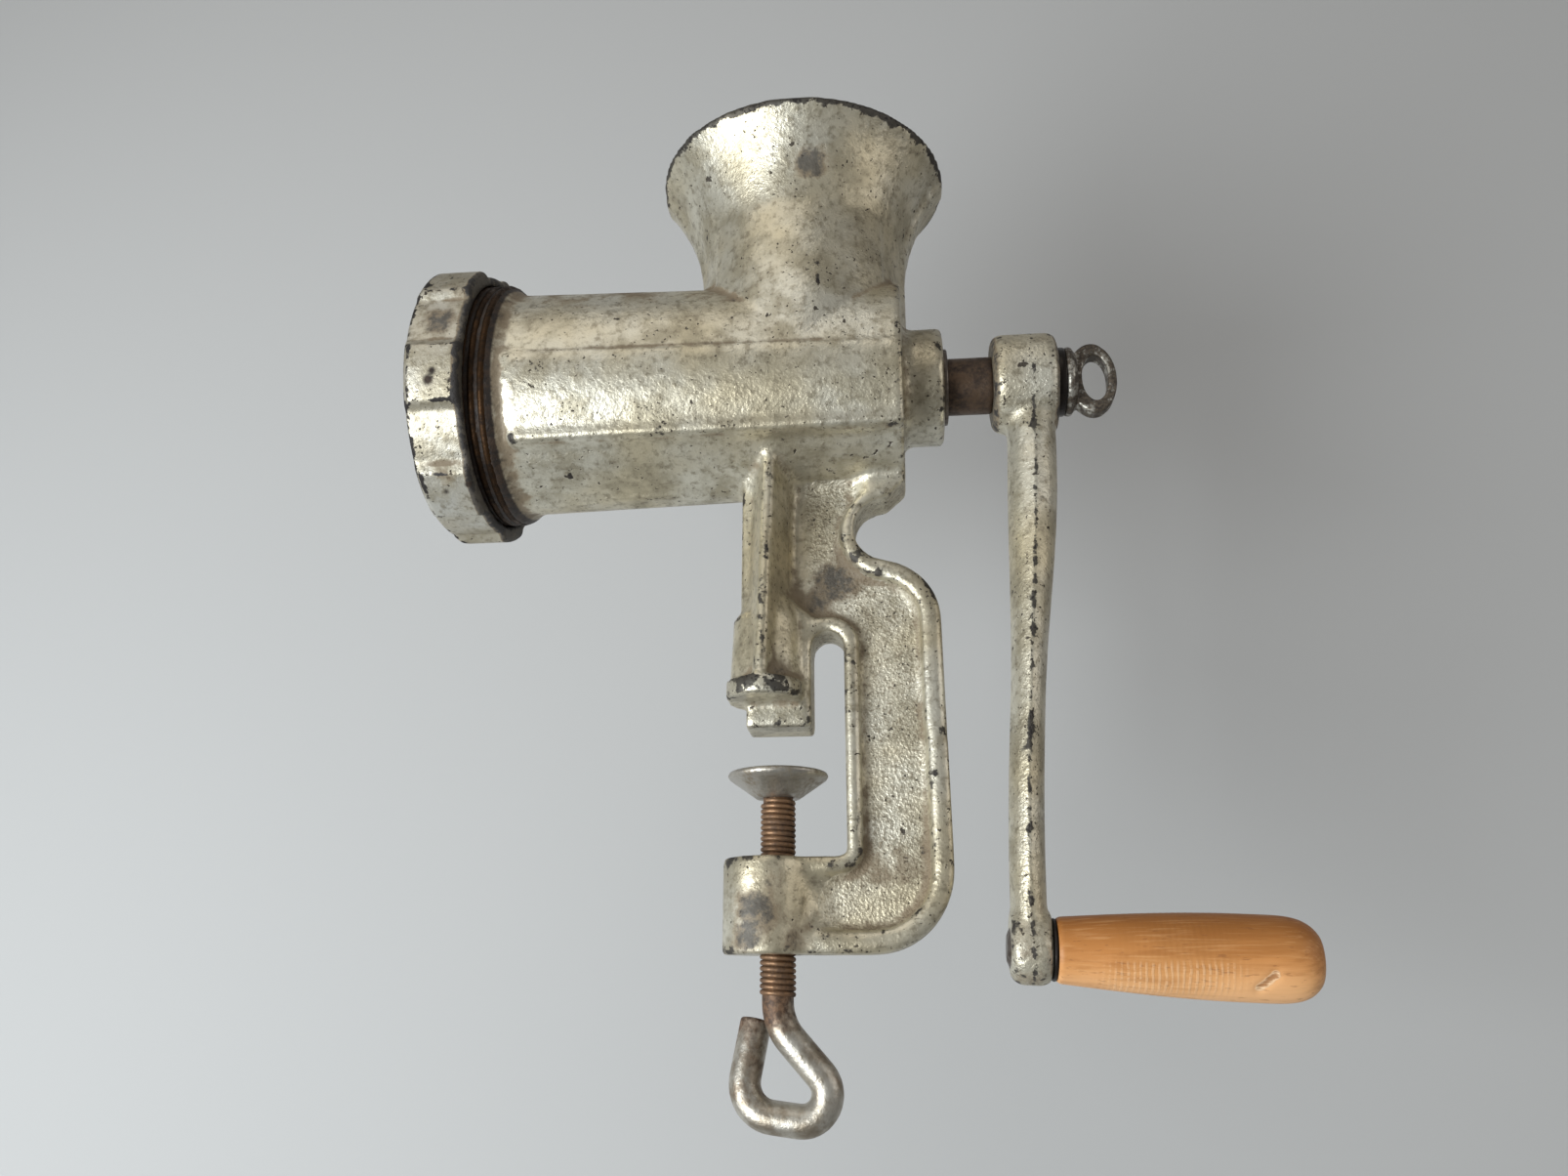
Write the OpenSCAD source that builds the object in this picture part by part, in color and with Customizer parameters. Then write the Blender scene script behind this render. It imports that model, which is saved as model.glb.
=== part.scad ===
// Hand-cranked meat grinder that clamps to a table edge. X runs along the barrel towards the crank,
// Z points up to the hopper, and the origin is under the jaw, on the axis of the clamp screw.

/* [Barrel] */
// Height of the shaft axis above the jaw
axis_h = 108.5; // [100:0.5:120]
// Position of the barrel's rear face
barrel_rear_x = 39; // [36:0.5:44]
// Length of the barrel from its rear face to the thread
barrel_len = 121; // [110:1:135]
// Outer radius of the barrel next to the thread
barrel_front_r = 35; // [33:0.1:36.5]
// Outer radius of the barrel at its rear face
barrel_rear_r = 32.3; // [31:0.1:34]
// Radius of the chamber that the worm turns in
chamber_r = 27; // [25:0.1:28]
// Thickness of the barrel's rear wall
rear_wall = 6; // [4:0.5:9]
// Radius of the mouth's screw thread
mouth_thread_r = 38.5; // [37.5:0.1:39]
// Length of the mouth's screw thread
mouth_thread_len = 19.5; // [17:0.5:24]
// Pitch of the mouth's screw thread
mouth_pitch = 3; // [2:0.25:4]
// Radius of the rear bearing boss
bearing_boss_r = 18.2; // [16:0.1:21]
// Length of the rear bearing boss
bearing_boss_len = 12.5; // [9:0.5:18]
// Height of the raised panel on the barrel's sides
panel_h = 1.1; // [0.6:0.1:2]
// Height of the bead along the panel's lower edge
bead_h = 2.2; // [1.2:0.1:3]
// Width of the moulding land along the middle plane
land_w = 8; // [5:0.5:12]
// Height of the moulding land
land_h = 1.4; // [0.6:0.1:2.5]

/* [Hopper] */
// Position of the hopper's axis along the barrel
hopper_x = 8.2; // [6:0.1:8.4]
// Outer radius of the hopper's neck
neck_r = 31.3; // [30.8:0.1:32]
// Wall of the hopper
hopper_wall = 4; // [3:0.1:6]
// Radius of the flare's concave curve
flare_r = 60; // [52:1:80]
// Height above the shaft axis where the flare begins
flare_z = 35; // [34:0.5:40]
// Height of the rim above the shaft axis
rim_z = 76; // [68:0.5:82]
// Width of the saddle that carries the neck down the barrel's sides
saddle_w = 52; // [44:1:56]

/* [Clamp frame] */
// Thickness of the frame at its edges
frame_t = 16; // [13:0.5:20]
// Thickness of the web in the recess
web_t = 7; // [5:0.5:11]
// Width of the flat land round the throat
inner_land = 4.3; // [3:0.1:5]
// Width of the bead round the outside
outer_bead = 6; // [4:0.1:7]
// Width of the bead at the end of the hollow under the barrel
notch_bead = 3; // [2:0.1:6]
// Reach of the jaw to the open side
jaw_left = 8.4; // [7:0.1:9.5]
// Reach of the jaw towards the frame's back
jaw_right = 10.1; // [9:0.1:11]
// Width of the slot between the jaw and the frame's back
slot_w = 9.5; // [8:0.1:11]
// Height of the slot above the jaw's face
slot_h = 28; // [22:0.1:29]
// Width of the frame's back
back_w = 28.7; // [26:0.1:33]
// Depth of the throat below the jaw's face
throat = 36; // [33:0.5:48]
// Height of the lower arm
arm_h = 25.3; // [22:0.1:30]
// Radius of the frame's outer corner
corner_r = 22; // [16:0.5:24]
// Radius of the throat's inner corner
throat_r = 2; // [1:0.5:8]
// Radius of the hollow under the barrel's rear
notch_r = 10; // [8:0.5:11]
// Radius of the boss that takes the clamp screw
screw_boss_r = 12.6; // [11:0.1:15]
// Distance of the boss's middle from the screw's axis, to the open side
screw_boss_out = 2.6; // [0:0.1:3.5]
// Reach of the stem to the open side
stem_left = 10.3; // [9:0.1:12]
// Radius of the foot beside the jaw
foot_r = 10.8; // [9.5:0.1:12]
// Height of the foot above the jaw's face
foot_lift = 7; // [6:0.5:11]
// Height of the foot's straight side
foot_h = 24; // [20:0.5:27]
// Height of the lip round the foot's base
foot_lip = 5; // [3:0.5:8]
// Radius of the crest on the rib from the foot to the barrel
rib_r = 1.8; // [1.2:0.1:4.5]

/* [Mouth] */
// Width of the ring nut
ring_w = 17; // [16.5:0.1:20]
// Radius of the ring nut over its lobes
ring_lobe_r = 43.5; // [42.5:0.1:46]
// Depth of the hollows between lobes
ring_hollow = 2.2; // [1:0.1:2.2]
// Number of lobes
ring_lobes = 7; // [5:1:9]
// Thickness of the lip that holds the plate
ring_lip = 3; // [2:0.1:4]
// Radius of the ring nut's mouth
ring_mouth_r = 27.5; // [26:0.1:29]
// Radius of the perforated plate
plate_r = 31; // [30:0.1:32]
// Thickness of the perforated plate
plate_t = 5; // [4:0.1:7]
// Diameter of the plate's holes
hole_d = 4.5; // [3:0.1:4.8]
// Diameter of the pin that stops the plate turning
key_d = 4; // [3:0.1:5]
// Thickness of the knife
knife_t = 8; // [6:0.1:10]
// Width across the flats of the knife's square
knife_square = 8; // [7:0.1:9]

/* [Feed screw] */
// Radius of the worm over its flight
worm_r = 26.3; // [24:0.1:26.5]
// Radius of the worm's core
worm_core_r = 11.5; // [10:0.1:13]
// Pitch of the worm's flight
worm_pitch = 36; // [30:1:44]
// Thickness of the worm's flight
flight_t = 7; // [5:0.5:9]
// Diameter of the drive shaft
shaft_d = 17.7; // [17:0.1:19]
// Length of shaft seen between the boss and the crank
shaft_gap = 13.7; // [12:0.1:20]
// Width across the flats of the crank's square
crank_square = 12; // [11:0.1:12.4]
// Wall of the bearing bush
bush_wall = 2.1; // [1.5:0.1:3]
// Height of the bush's flange round the shaft
bush_flange = 3; // [2.2:0.1:4]

/* [Crank] */
// Radius of the crank's hub
hub_r = 15.3; // [13:0.1:18]
// Length of the crank's hub
hub_len = 19.6; // [16:0.1:24]
// Distance between the shaft and the grip's axis
crank_len = 168.5; // [150:0.5:200]
// Inward offset of the lower boss from the hub
crank_offset = 8.8; // [5:0.1:10]
// Outward shift of the arm's top from the hub's middle
arm_shift = 1.8; // [0:0.1:2.2]
// Thickness of the arm at the hub
arm_t_top = 14.8; // [12:0.1:15]
// Thickness of the arm at the lower boss
arm_t_low = 9.8; // [8:0.1:11]
// Width of the arm at the hub
arm_w_top = 19; // [16:0.5:24]
// Width of the arm at the lower boss
arm_w_low = 15; // [12:0.5:18]
// Radius of the lower boss
low_boss_r = 9.3; // [8:0.1:11]
// Length of the lower boss
low_boss_len = 11; // [10:0.1:16]
// Thickness of the washer under the thumb screw
crank_washer_t = 2.5; // [1.5:0.1:4]
// Diameter of the thumb screw's thread
thumb_d = 7.8; // [6:0.1:8.2]
// Pitch of the thumb screw's thread
thumb_pitch = 1.25; // [1:0.05:1.5]
// Length of the thumb screw's thread
thumb_len = 15; // [14.5:0.5:18]
// Diameter of the thumb screw's collar
thumb_collar_d = 21.3; // [17:0.1:23]
// Height of the thumb screw's eye
eye_h = 24; // [20:0.1:27]
// Reach of the thumb screw's eye past its collar
eye_len = 12.8; // [11:0.1:18]
// Thickness of the thumb screw's eye
eye_t = 5.5; // [4:0.1:8]

/* [Grip] */
// Length of the wooden grip
grip_len = 66.5; // [60:0.5:85]
// Radius of the grip next to the crank
grip_r_in = 8.5; // [8:0.1:10]
// Greatest radius of the grip
grip_r_max = 11.1; // [10.5:0.1:13]
// Diameter of the pin that the grip turns on
spindle_d = 7; // [5:0.1:8]
// Thickness of the washer at the grip's inner end
grip_washer_t = 0.8; // [0.8:0.1:2]
// Droop of the grip's axis, in degrees
grip_droop = 2.5; // [0:0.1:4]

/* [Clamp screw] */
// Diameter over the clamp screw's thread
clamp_d = 10; // [9:0.1:11]
// Pitch of the clamp screw's thread
clamp_pitch = 1.5; // [1.25:0.05:1.75]
// Opening between the jaw and the pad at rest
clamp_gap = 12; // [10:0.5:15]
// Diameter of the pad
pad_d = 28.4; // [26:0.1:29]
// Height of the pad
pad_h = 7.2; // [6.5:0.1:9]
// Diameter of the rod that forms the eye
rod_d = 8.6; // [7:0.1:9]

/* [Hidden] */
$fn = 64;

// Clearances: running fits, sliding squares and free gaps
run_gap = 0.06;
square_gap = 0.1;
free_gap = 0.3;

// Overshoot of cutters, and how far joined shapes reach into each other
over = 1;
sink = 3;

// Stations along the barrel, from the crank side to the mouth
chamber_rear_x = barrel_rear_x - rear_wall;
shoulder_x = barrel_rear_x - barrel_len;
mouth_x = shoulder_x - mouth_thread_len;
shoulder_cone = 3;
skin_front_x = shoulder_x + shoulder_cone + over;
panel_top_a = 88;
panel_low_a = 48;
bead_r = 4;
bead_inset = 0.5;
bearing_x = barrel_rear_x + bearing_boss_len;
bush_flange_t = 1.5;
hub_x = bearing_x + bush_flange_t + shaft_gap;
hub_end_x = hub_x + hub_len;
hub_mid_x = hub_x + hub_len / 2;
collar_x = hub_end_x + crank_washer_t;
collar_t = 3.4;

// Stack at the mouth: the ring's lip, the plate, the knife and the worm's front
plate_stand = 1.6;
plate_front_x = mouth_x - plate_stand;
plate_rear_x = plate_front_x + plate_t;
knife_rear_x = plate_rear_x + knife_t;
worm_front_x = knife_rear_x + free_gap;
ring_front_x = plate_front_x - ring_lip;
thrust_t = 2;
worm_rear_x = chamber_rear_x - thrust_t;
shaft_r = shaft_d / 2;
bush_r = shaft_r + run_gap + bush_wall;

// Clamp frame, seen in the XZ plane
back_in = jaw_right + slot_w;
back_out = back_in + back_w;
arm_top = -throat;
arm_bottom = arm_top - arm_h;
slot_r = slot_w / 2;
slot_c = [jaw_right + slot_r, slot_h - slot_r];
corner_c = [back_out - corner_r, arm_bottom + corner_r];
throat_c = [back_in - throat_r, arm_top + throat_r];
notch_in = 6;
notch_web = 5.5;
notch_c = [barrel_rear_x - notch_in, axis_h - barrel_rear_r - land_h - notch_r - notch_web];
shoulder_drop = 28;
shoulder_in = 3.5;
shoulder_r = norm([shoulder_in, shoulder_drop]) - notch_r;
shoulder_c = [notch_c.x - shoulder_in, notch_c.y - shoulder_drop];
shoulder_a = atan2(shoulder_drop, shoulder_in);
stem_top = axis_h - 10;
foot_at = [-2.8, -10.4];
foot_body_y = -5.2;
foot_taper = 1.1;
foot_top = foot_lift + foot_h;
foot_edge = 3;
rib_root = [5.5, -7];
rib_low = [foot_at.x - 0.5, -18.6, foot_lift + foot_lip - over];
rib_top = [-0.8, -16.6, axis_h - 22];

// Hopper curves share one centre, so the wall stays even
flare_c = neck_r + flare_r;
flare_top_a = asin((rim_z - flare_z) / flare_r);
rim_r = flare_c - flare_r * cos(flare_top_a);
land_top = rim_z - 3;

// The saddle has the barrel's own radius under the hopper, and ends where the flare reaches it
saddle_r = barrel_front_r + (barrel_rear_r - barrel_front_r) * (hopper_x - shoulder_x) / barrel_len;
saddle_top = flare_z + sqrt(pow(flare_r, 2) - pow(flare_c - saddle_r, 2));

// Crank, grip and clamp screw
low_boss_x = hub_mid_x - crank_offset;
grip_z = axis_h - crank_len;
grip_x = low_boss_x + low_boss_len / 2 + grip_washer_t + free_gap;
spindle_r = spindle_d / 2;
pad_top = -clamp_gap;
pad_bottom = pad_top - pad_h;
tenon_r = 3.4;
tenon_head_r = 5.6;
tenon_head_t = 1.6;
clamp_r = clamp_d / 2;
thread_low = arm_bottom - clamp_gap + over;
thread_top = pad_bottom - run_gap;

// Points of an arc round c, from angle a0 to a1, whose radius goes from r0 to r1
function spiral(c, r0, r1, a0, a1, n = 10) =
  [for (i = [0:n]) let (t = i / n, a = a0 + (a1 - a0) * t, r = r0 + (r1 - r0) * t)
    [c.x + r * cos(a), c.y + r * sin(a)]];

// Points of an arc round c, from angle a0 to a1
function arc(c, r, a0, a1, n = 10) = spiral(c, r, r, a0, a1, n);

// Eases from 0 to 1 as t goes from t0 to t1
function ease(t, t0 = 0, t1 = 1) = let (c = min(1, max(0, (t - t0) / (t1 - t0)))) c * c * (3 - 2 * c);

// Points of an ellipse round c
function oval(c, rx, ry, n = 32) =
  [for (i = [0:n - 1]) let (a = 360 * i / n) [c.x + rx * cos(a), c.y + ry * sin(a)]];

// Edge of a screw thread, as radius and height, with one ridge for each pitch
function thread_edge(r, z0, z1, pitch) =
  let (n = floor((z1 - z0) / pitch), step = (z1 - z0) / n, root = r - 0.6 * pitch)
  concat([for (i = [0:n - 1]) each [[root, z0 + step * i], [r, z0 + step * (i + 0.5)]]], [[root, z1]]);

// Stands a drawing up in the XZ plane, with thickness t across the middle
module upright(t) {
  rotate([90, 0, 0]) linear_extrude(t, center = true) children();
}

// Lays a part that was drawn round Z along the shaft, with its base at x
module on_shaft(x = 0) {
  translate([x, 0, axis_h]) rotate([0, 90, 0]) children();
}

module square_bar(width, x0, x1) {
  on_shaft(x0) translate([-width / 2, -width / 2, 0]) cube([width, width, x1 - x0]);
}

// Strip of the barrel's outer surface, grown by h, between two angles from straight down
module barrel_skin(h, a0, a1) {
  root = barrel_rear_r - sink;
  on_shaft() rotate(a0) rotate_extrude(angle = a1 - a0)
    polygon([[root, skin_front_x], [barrel_front_r + h, skin_front_x],
      [barrel_rear_r + h, barrel_rear_x], [root, barrel_rear_x]]);
}

// Round bead along the barrel, at an angle from straight down
module barrel_bead(a) {
  run = barrel_rear_x - skin_front_x;
  taper = atan((barrel_front_r - barrel_rear_r) / barrel_len);
  on_shaft() rotate(a) translate([barrel_front_r - bead_r + bead_h, 0, skin_front_x + bead_inset])
    rotate([0, -taper, 0]) cylinder(r = bead_r, h = run - 2 * bead_inset);
}

module barrel_outside() {
  on_shaft() rotate_extrude()
    polygon(concat([[0, mouth_x]], thread_edge(mouth_thread_r, mouth_x, shoulder_x, mouth_pitch),
      [[barrel_front_r, shoulder_x + shoulder_cone], [barrel_rear_r, barrel_rear_x], [0, barrel_rear_x]]));
  on_shaft(barrel_rear_x) cylinder(r = bearing_boss_r, h = bearing_boss_len);
  for (side = [-1, 1]) {
    panel_mid_a = side * (panel_top_a + panel_low_a) / 2;
    panel_half_a = (panel_top_a - panel_low_a) / 2;
    barrel_skin(panel_h, panel_mid_a - panel_half_a, panel_mid_a + panel_half_a);
    barrel_bead(side * panel_low_a);
  }
  // Land under the barrel
  land_front_x = shoulder_x + shoulder_cone;
  front_z = axis_h - barrel_front_r;
  rear_z = axis_h - barrel_rear_r;
  upright(land_w)
    polygon([[land_front_x, front_z + sink], [land_front_x, front_z - land_h],
      [barrel_rear_x, rear_z - land_h], [barrel_rear_x, rear_z + sink]]);
}

// Half of the hopper's section: from its foot in the barrel up to the rim, grown outwards by grow
function hopper_edge(grow) =
  concat([[neck_r + grow, 0]], arc([flare_c, flare_z], flare_r - grow, 180, 180 - flare_top_a, 14));

module hopper_outside() {
  translate([hopper_x, 0, axis_h]) {
    rotate_extrude($fn = 96) polygon(concat(hopper_edge(0), [[rim_r, rim_z], [0, rim_z], [0, 0]]));
    upright(land_w) intersection() {
      union() for (side = [0, 1]) mirror([side, 0])
        polygon(concat(hopper_edge(land_h), [[0, rim_z], [0, 0]]));
      translate([-rim_r * 2, 0]) square([rim_r * 4, land_top]);
    }
  }
}

module hopper_saddle() {
  translate([hopper_x, 0, axis_h]) intersection() {
    cylinder(r = saddle_r, h = saddle_top);
    translate([-saddle_w / 2, -2 * saddle_r, 0]) cube([saddle_w, 4 * saddle_r, saddle_top]);
  }
}

module hopper_inside() {
  inner = hopper_edge(-hopper_wall);
  top = inner[len(inner) - 1];
  top_z = rim_z + hopper_wall + over;
  translate([hopper_x, 0, axis_h]) rotate_extrude($fn = 96)
    polygon(concat([[0, 0]], inner, [[top.x, top_z], [0, top_z]]));
}

// Side view of the stem, jaw and C-shaped frame
module frame_outline() {
  polygon(concat(
    [[-stem_left, stem_top], [-stem_left, foot_lift + foot_edge], [-jaw_left, foot_lift],
     [-jaw_left, 0], [jaw_right, 0]],
    arc(slot_c, slot_r, 180, 0),
    arc(throat_c, throat_r, 0, -90),
    [[0, arm_top], [0, arm_bottom]],
    arc(corner_c, corner_r, -90, 0),
    arc(shoulder_c, shoulder_r, 0, shoulder_a),
    arc(notch_c, notch_r, shoulder_a - 180, -270),
    [[barrel_rear_x, axis_h - barrel_rear_r - land_h], [barrel_rear_x, stem_top]]));
}

// Recess between the throat's land and the outer bead
module frame_recess() {
  boss_lap = 2;
  rib_edge = rib_top.x + rib_root.x - over;
  rib_foot = slot_h + 10;
  boss_edge = screw_boss_r - screw_boss_out - boss_lap;
  arch_a = 112;
  notch_end_a = -240;
  notch_edge = notch_c.x - 4;
  top = stem_top - 2;
  polygon(concat(
    [[rib_edge, top], [rib_edge, rib_foot]],
    arc(slot_c, slot_r + inner_land, arch_a, 0),
    arc(throat_c, throat_r + inner_land, 0, -90),
    [[boss_edge, arm_top - inner_land], [boss_edge, arm_bottom + outer_bead]],
    arc(corner_c, corner_r - outer_bead, -90, 0),
    arc(shoulder_c, shoulder_r - outer_bead, 0, shoulder_a),
    spiral(notch_c, notch_r + outer_bead, notch_r + notch_bead, shoulder_a - 180, notch_end_a),
    [[notch_edge, top]]));
}

module clamp_frame() {
  slice = 0.5;
  difference() {
    upright(frame_t) frame_outline();
    for (side = [-1, 1])
      translate([0, side * (web_t / 2 + frame_t / 2), 0]) upright(frame_t) frame_recess();
  }
  translate([-screw_boss_out, 0, arm_bottom]) cylinder(r = screw_boss_r, h = arm_h);
  translate([foot_at.x, foot_at.y, foot_lift]) cylinder(r = foot_r, h = foot_lip);
  translate([foot_at.x, foot_body_y, foot_lift]) cylinder(r1 = foot_r, r2 = foot_r - foot_taper, h = foot_h);
  // Foot's sloping top
  hull($fn = 32) {
    translate([foot_at.x, foot_body_y, foot_top]) cylinder(r = foot_r - foot_taper, h = slice);
    translate([rib_top.x, rib_root.y, foot_top + rib_root.x]) cylinder(r = rib_root.x, h = slice);
  }
  // Rib with a narrow crest
  hull($fn = 32) {
    translate([rib_low.x, rib_low.y, rib_low.z]) cylinder(r = rib_r, h = slice);
    translate([rib_low.x, rib_root.y, rib_low.z]) cylinder(r = rib_root.x, h = slice);
    translate([rib_top.x, rib_top.y, rib_top.z]) cylinder(r = rib_r, h = slice);
    translate([rib_top.x, rib_root.y, rib_top.z]) cylinder(r = rib_root.x, h = slice);
  }
}

module body_casting() {
  bore_len = rear_wall + bearing_boss_len;
  seat_len = knife_rear_x - mouth_x;
  color("#cfc9b8") difference() {
    union() {
      barrel_outside();
      hopper_outside();
      hopper_saddle();
      clamp_frame();
    }
    hopper_inside();
    on_shaft(mouth_x - over) cylinder(r = chamber_r, h = chamber_rear_x - mouth_x + over);
    on_shaft(mouth_x - over) cylinder(r = plate_r + free_gap, h = seat_len + over);
    on_shaft(chamber_rear_x - over) cylinder(r = bush_r + run_gap, h = bore_len + 2 * over);
    translate([0, 0, arm_bottom - over]) cylinder(r = clamp_r + run_gap, h = arm_h + 2 * over);
    key_hole();
  }
}

key_z = axis_h + plate_r + free_gap;
key_len = plate_t + 3;

module key_hole() {
  translate([mouth_x - over, 0, key_z]) rotate([0, 90, 0]) cylinder(d = key_d, h = key_len + over);
}

module plate_key() {
  color("#8a8577") translate([mouth_x, 0, key_z]) rotate([0, 90, 0]) cylinder(d = key_d, h = key_len);
}

module bearing_bush() {
  color("#4a4038") on_shaft() rotate_extrude()
    polygon([[shaft_r + run_gap, chamber_rear_x], [bush_r, chamber_rear_x], [bush_r, bearing_x],
      [shaft_r + bush_flange, bearing_x], [shaft_r + bush_flange, bearing_x + bush_flange_t],
      [shaft_r + run_gap, bearing_x + bush_flange_t]]);
}

module thrust_washer() {
  flange = 6;
  color("#6e665a") on_shaft(worm_rear_x) difference() {
    cylinder(r = worm_core_r + flange, h = thrust_t);
    translate([0, 0, -over]) cylinder(r = shaft_r + run_gap, h = thrust_t + 2 * over);
  }
}

// Distance of the flight's ends from the worm's faces, the angle that it starts at, and the share of its
// thickness at the crest
flight_inset = 6;
flight_turn = 7;
crest_share = 0.5;

// Corners of the flight's section at one step of its helix
function flight_ring(i, n, turns) =
  let (a = flight_turn + 360 * turns * i / n, x = worm_front_x + flight_inset + worm_pitch * turns * i / n,
       c = cos(a), s = sin(a), half = flight_t / 2, crest = half * crest_share, inner = worm_core_r - sink)
  [[x - half, inner * s, axis_h + inner * c], [x - crest, worm_r * s, axis_h + worm_r * c],
   [x + crest, worm_r * s, axis_h + worm_r * c], [x + half, inner * s, axis_h + inner * c]];

module worm_flight() {
  turns = (worm_rear_x - worm_front_x - 2 * flight_inset) / worm_pitch;
  n = ceil(turns * 20);
  points = [for (i = [0:n]) each flight_ring(i, n, turns)];
  sides = [for (i = [0:n - 1], j = [0:3])
    let (a = 4 * i + j, b = 4 * i + (j + 1) % 4) each [[a, a + 4, b], [b, a + 4, b + 4]]];
  ends = [[0, 1, 2], [0, 2, 3], [4 * n, 4 * n + 2, 4 * n + 1], [4 * n, 4 * n + 3, 4 * n + 2]];
  polyhedron(points, concat(sides, ends));
}

stud_len = 16;
stud_r = knife_square * 0.75;
stud_tip_r = knife_square * 0.475;

module feed_screw() {
  color("#5d5247") difference() {
    union() {
      on_shaft(worm_front_x) cylinder(r = worm_core_r, h = worm_rear_x - worm_front_x);
      on_shaft(worm_rear_x - over) cylinder(r = shaft_r, h = hub_x - worm_rear_x + over);
      square_bar(crank_square, hub_x - over, hub_end_x - over);
      worm_flight();
    }
    on_shaft(worm_front_x - over) cylinder(r = stud_r, h = stud_len + over);
    on_shaft(hub_end_x - thumb_len - over) cylinder(d = thumb_d + 2 * run_gap, h = thumb_len + 2 * over);
  }
}

module knife_stud() {
  color("#77706a") {
    on_shaft(worm_front_x) cylinder(r = stud_r, h = stud_len - free_gap);
    square_bar(knife_square, plate_rear_x, worm_front_x + over);
    on_shaft(plate_front_x) cylinder(r = stud_tip_r - run_gap, h = plate_t + over);
  }
}

module knife() {
  knife_hub_r = knife_square * 1.2;
  blade_r = plate_r - 3;
  blade_w = 8;
  blade_t = knife_t * 0.75;
  color("#8d8b86") difference() {
    union() {
      on_shaft(plate_rear_x) cylinder(r = knife_hub_r, h = knife_t);
      for (turn = [0:90:270])
        on_shaft(plate_rear_x) rotate(turn) linear_extrude(blade_t)
          polygon([[0, -blade_w / 2], [blade_r, -blade_w / 4], [blade_r, blade_w / 2], [0, blade_w / 2]]);
    }
    square_bar(knife_square + 2 * square_gap, plate_rear_x - over, knife_rear_x + over);
  }
}

module perforated_plate() {
  edge = 2;
  rings = 4;
  first = 6;
  ring_step = (ring_mouth_r - edge - hole_d / 2 - stud_tip_r) / rings;
  color("#9a958c") on_shaft(plate_front_x) difference() {
    cylinder(r = plate_r, h = plate_t);
    for (ring = [1:rings], i = [0:first * ring - 1])
      rotate(360 * i / (first * ring)) translate([stud_tip_r + ring_step * ring, 0, -over])
        cylinder(d = hole_d, h = plate_t + 2 * over, $fn = 24);
    translate([0, 0, -over]) cylinder(r = stud_tip_r, h = plate_t + 2 * over);
    translate([-(plate_r + free_gap), 0, -over]) cylinder(d = key_d + 2 * free_gap, h = plate_t + 2 * over);
  }
}

// Outline of the ring nut: raised pads with sloping sides, and hollows between them
pad_share = 0.215;
slope_share = 0.07;
function lobe_points() =
  let (step = 360 / ring_lobes, pad = step * pad_share, slope = step * slope_share,
       low_r = ring_lobe_r - ring_hollow)
  [for (i = [0:ring_lobes - 1]) each concat(
    arc([0, 0], ring_lobe_r, i * step - pad, i * step + pad, 4),
    arc([0, 0], low_r, i * step + pad + slope, (i + 1) * step - pad - slope, 4))];

module ring_nut() {
  lobe_turn = -77.2;
  front_chamfer = 2;
  rear_chamfer = 1;
  color("#c8c2b2") on_shaft(ring_front_x) difference() {
    intersection() {
      rotate(lobe_turn) linear_extrude(ring_w) polygon(lobe_points());
      rotate_extrude()
        polygon([[0, 0], [ring_lobe_r - front_chamfer, 0], [ring_lobe_r, front_chamfer],
          [ring_lobe_r, ring_w - rear_chamfer], [ring_lobe_r - rear_chamfer, ring_w], [0, ring_w]]);
    }
    translate([0, 0, ring_lip]) cylinder(r = mouth_thread_r + run_gap, h = ring_w);
    translate([0, 0, -over]) cylinder(r = ring_mouth_r, h = ring_w);
  }
}

// Section of the crank's arm at share t of its length: an oval that leans inwards on an S-curve
arm_slim = [0.2, 0.6];
function arm_ring(t, n) =
  let (x = hub_mid_x + arm_shift - (arm_shift + crank_offset) * ease(t), z = axis_h - crank_len * t,
       rx = (arm_t_top + (arm_t_low - arm_t_top) * ease(t, arm_slim[0], arm_slim[1])) / 2,
       ry = (arm_w_top + (arm_w_low - arm_w_top) * t) / 2)
  [for (j = [0:n - 1]) let (a = 360 * j / n) [x + rx * cos(a), ry * sin(a), z]];

module arm_bar() {
  n = 20;
  steps = 14;
  points = [for (i = [0:steps]) each arm_ring(i / steps, n)];
  sides = [for (i = [0:steps - 1], j = [0:n - 1])
    let (a = n * i + j, b = n * i + (j + 1) % n) each [[a, b, a + n], [b, b + n, a + n]]];
  last = n * steps;
  caps = [for (j = [1:n - 2]) each [[0, j + 1, j], [last, last + j, last + j + 1]]];
  polyhedron(points, concat(sides, caps));
}

module crank_arm() {
  color("#bdb8aa") difference() {
    union() {
      on_shaft(hub_x) cylinder(r = hub_r, h = hub_len);
      on_grip(low_boss_x - low_boss_len / 2) cylinder(r = low_boss_r, h = low_boss_len);
      arm_bar();
    }
    square_bar(crank_square + 2 * square_gap, hub_x - over, hub_end_x + over);
    on_grip(low_boss_x - low_boss_len) cylinder(r = spindle_r, h = 2 * low_boss_len);
  }
}

module crank_washer() {
  color("#3b352f") on_shaft(hub_end_x) difference() {
    cylinder(d = thumb_collar_d, h = crank_washer_t);
    translate([0, 0, -over]) cylinder(d = thumb_d + 2 * run_gap, h = crank_washer_t + 2 * over);
  }
}

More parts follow.
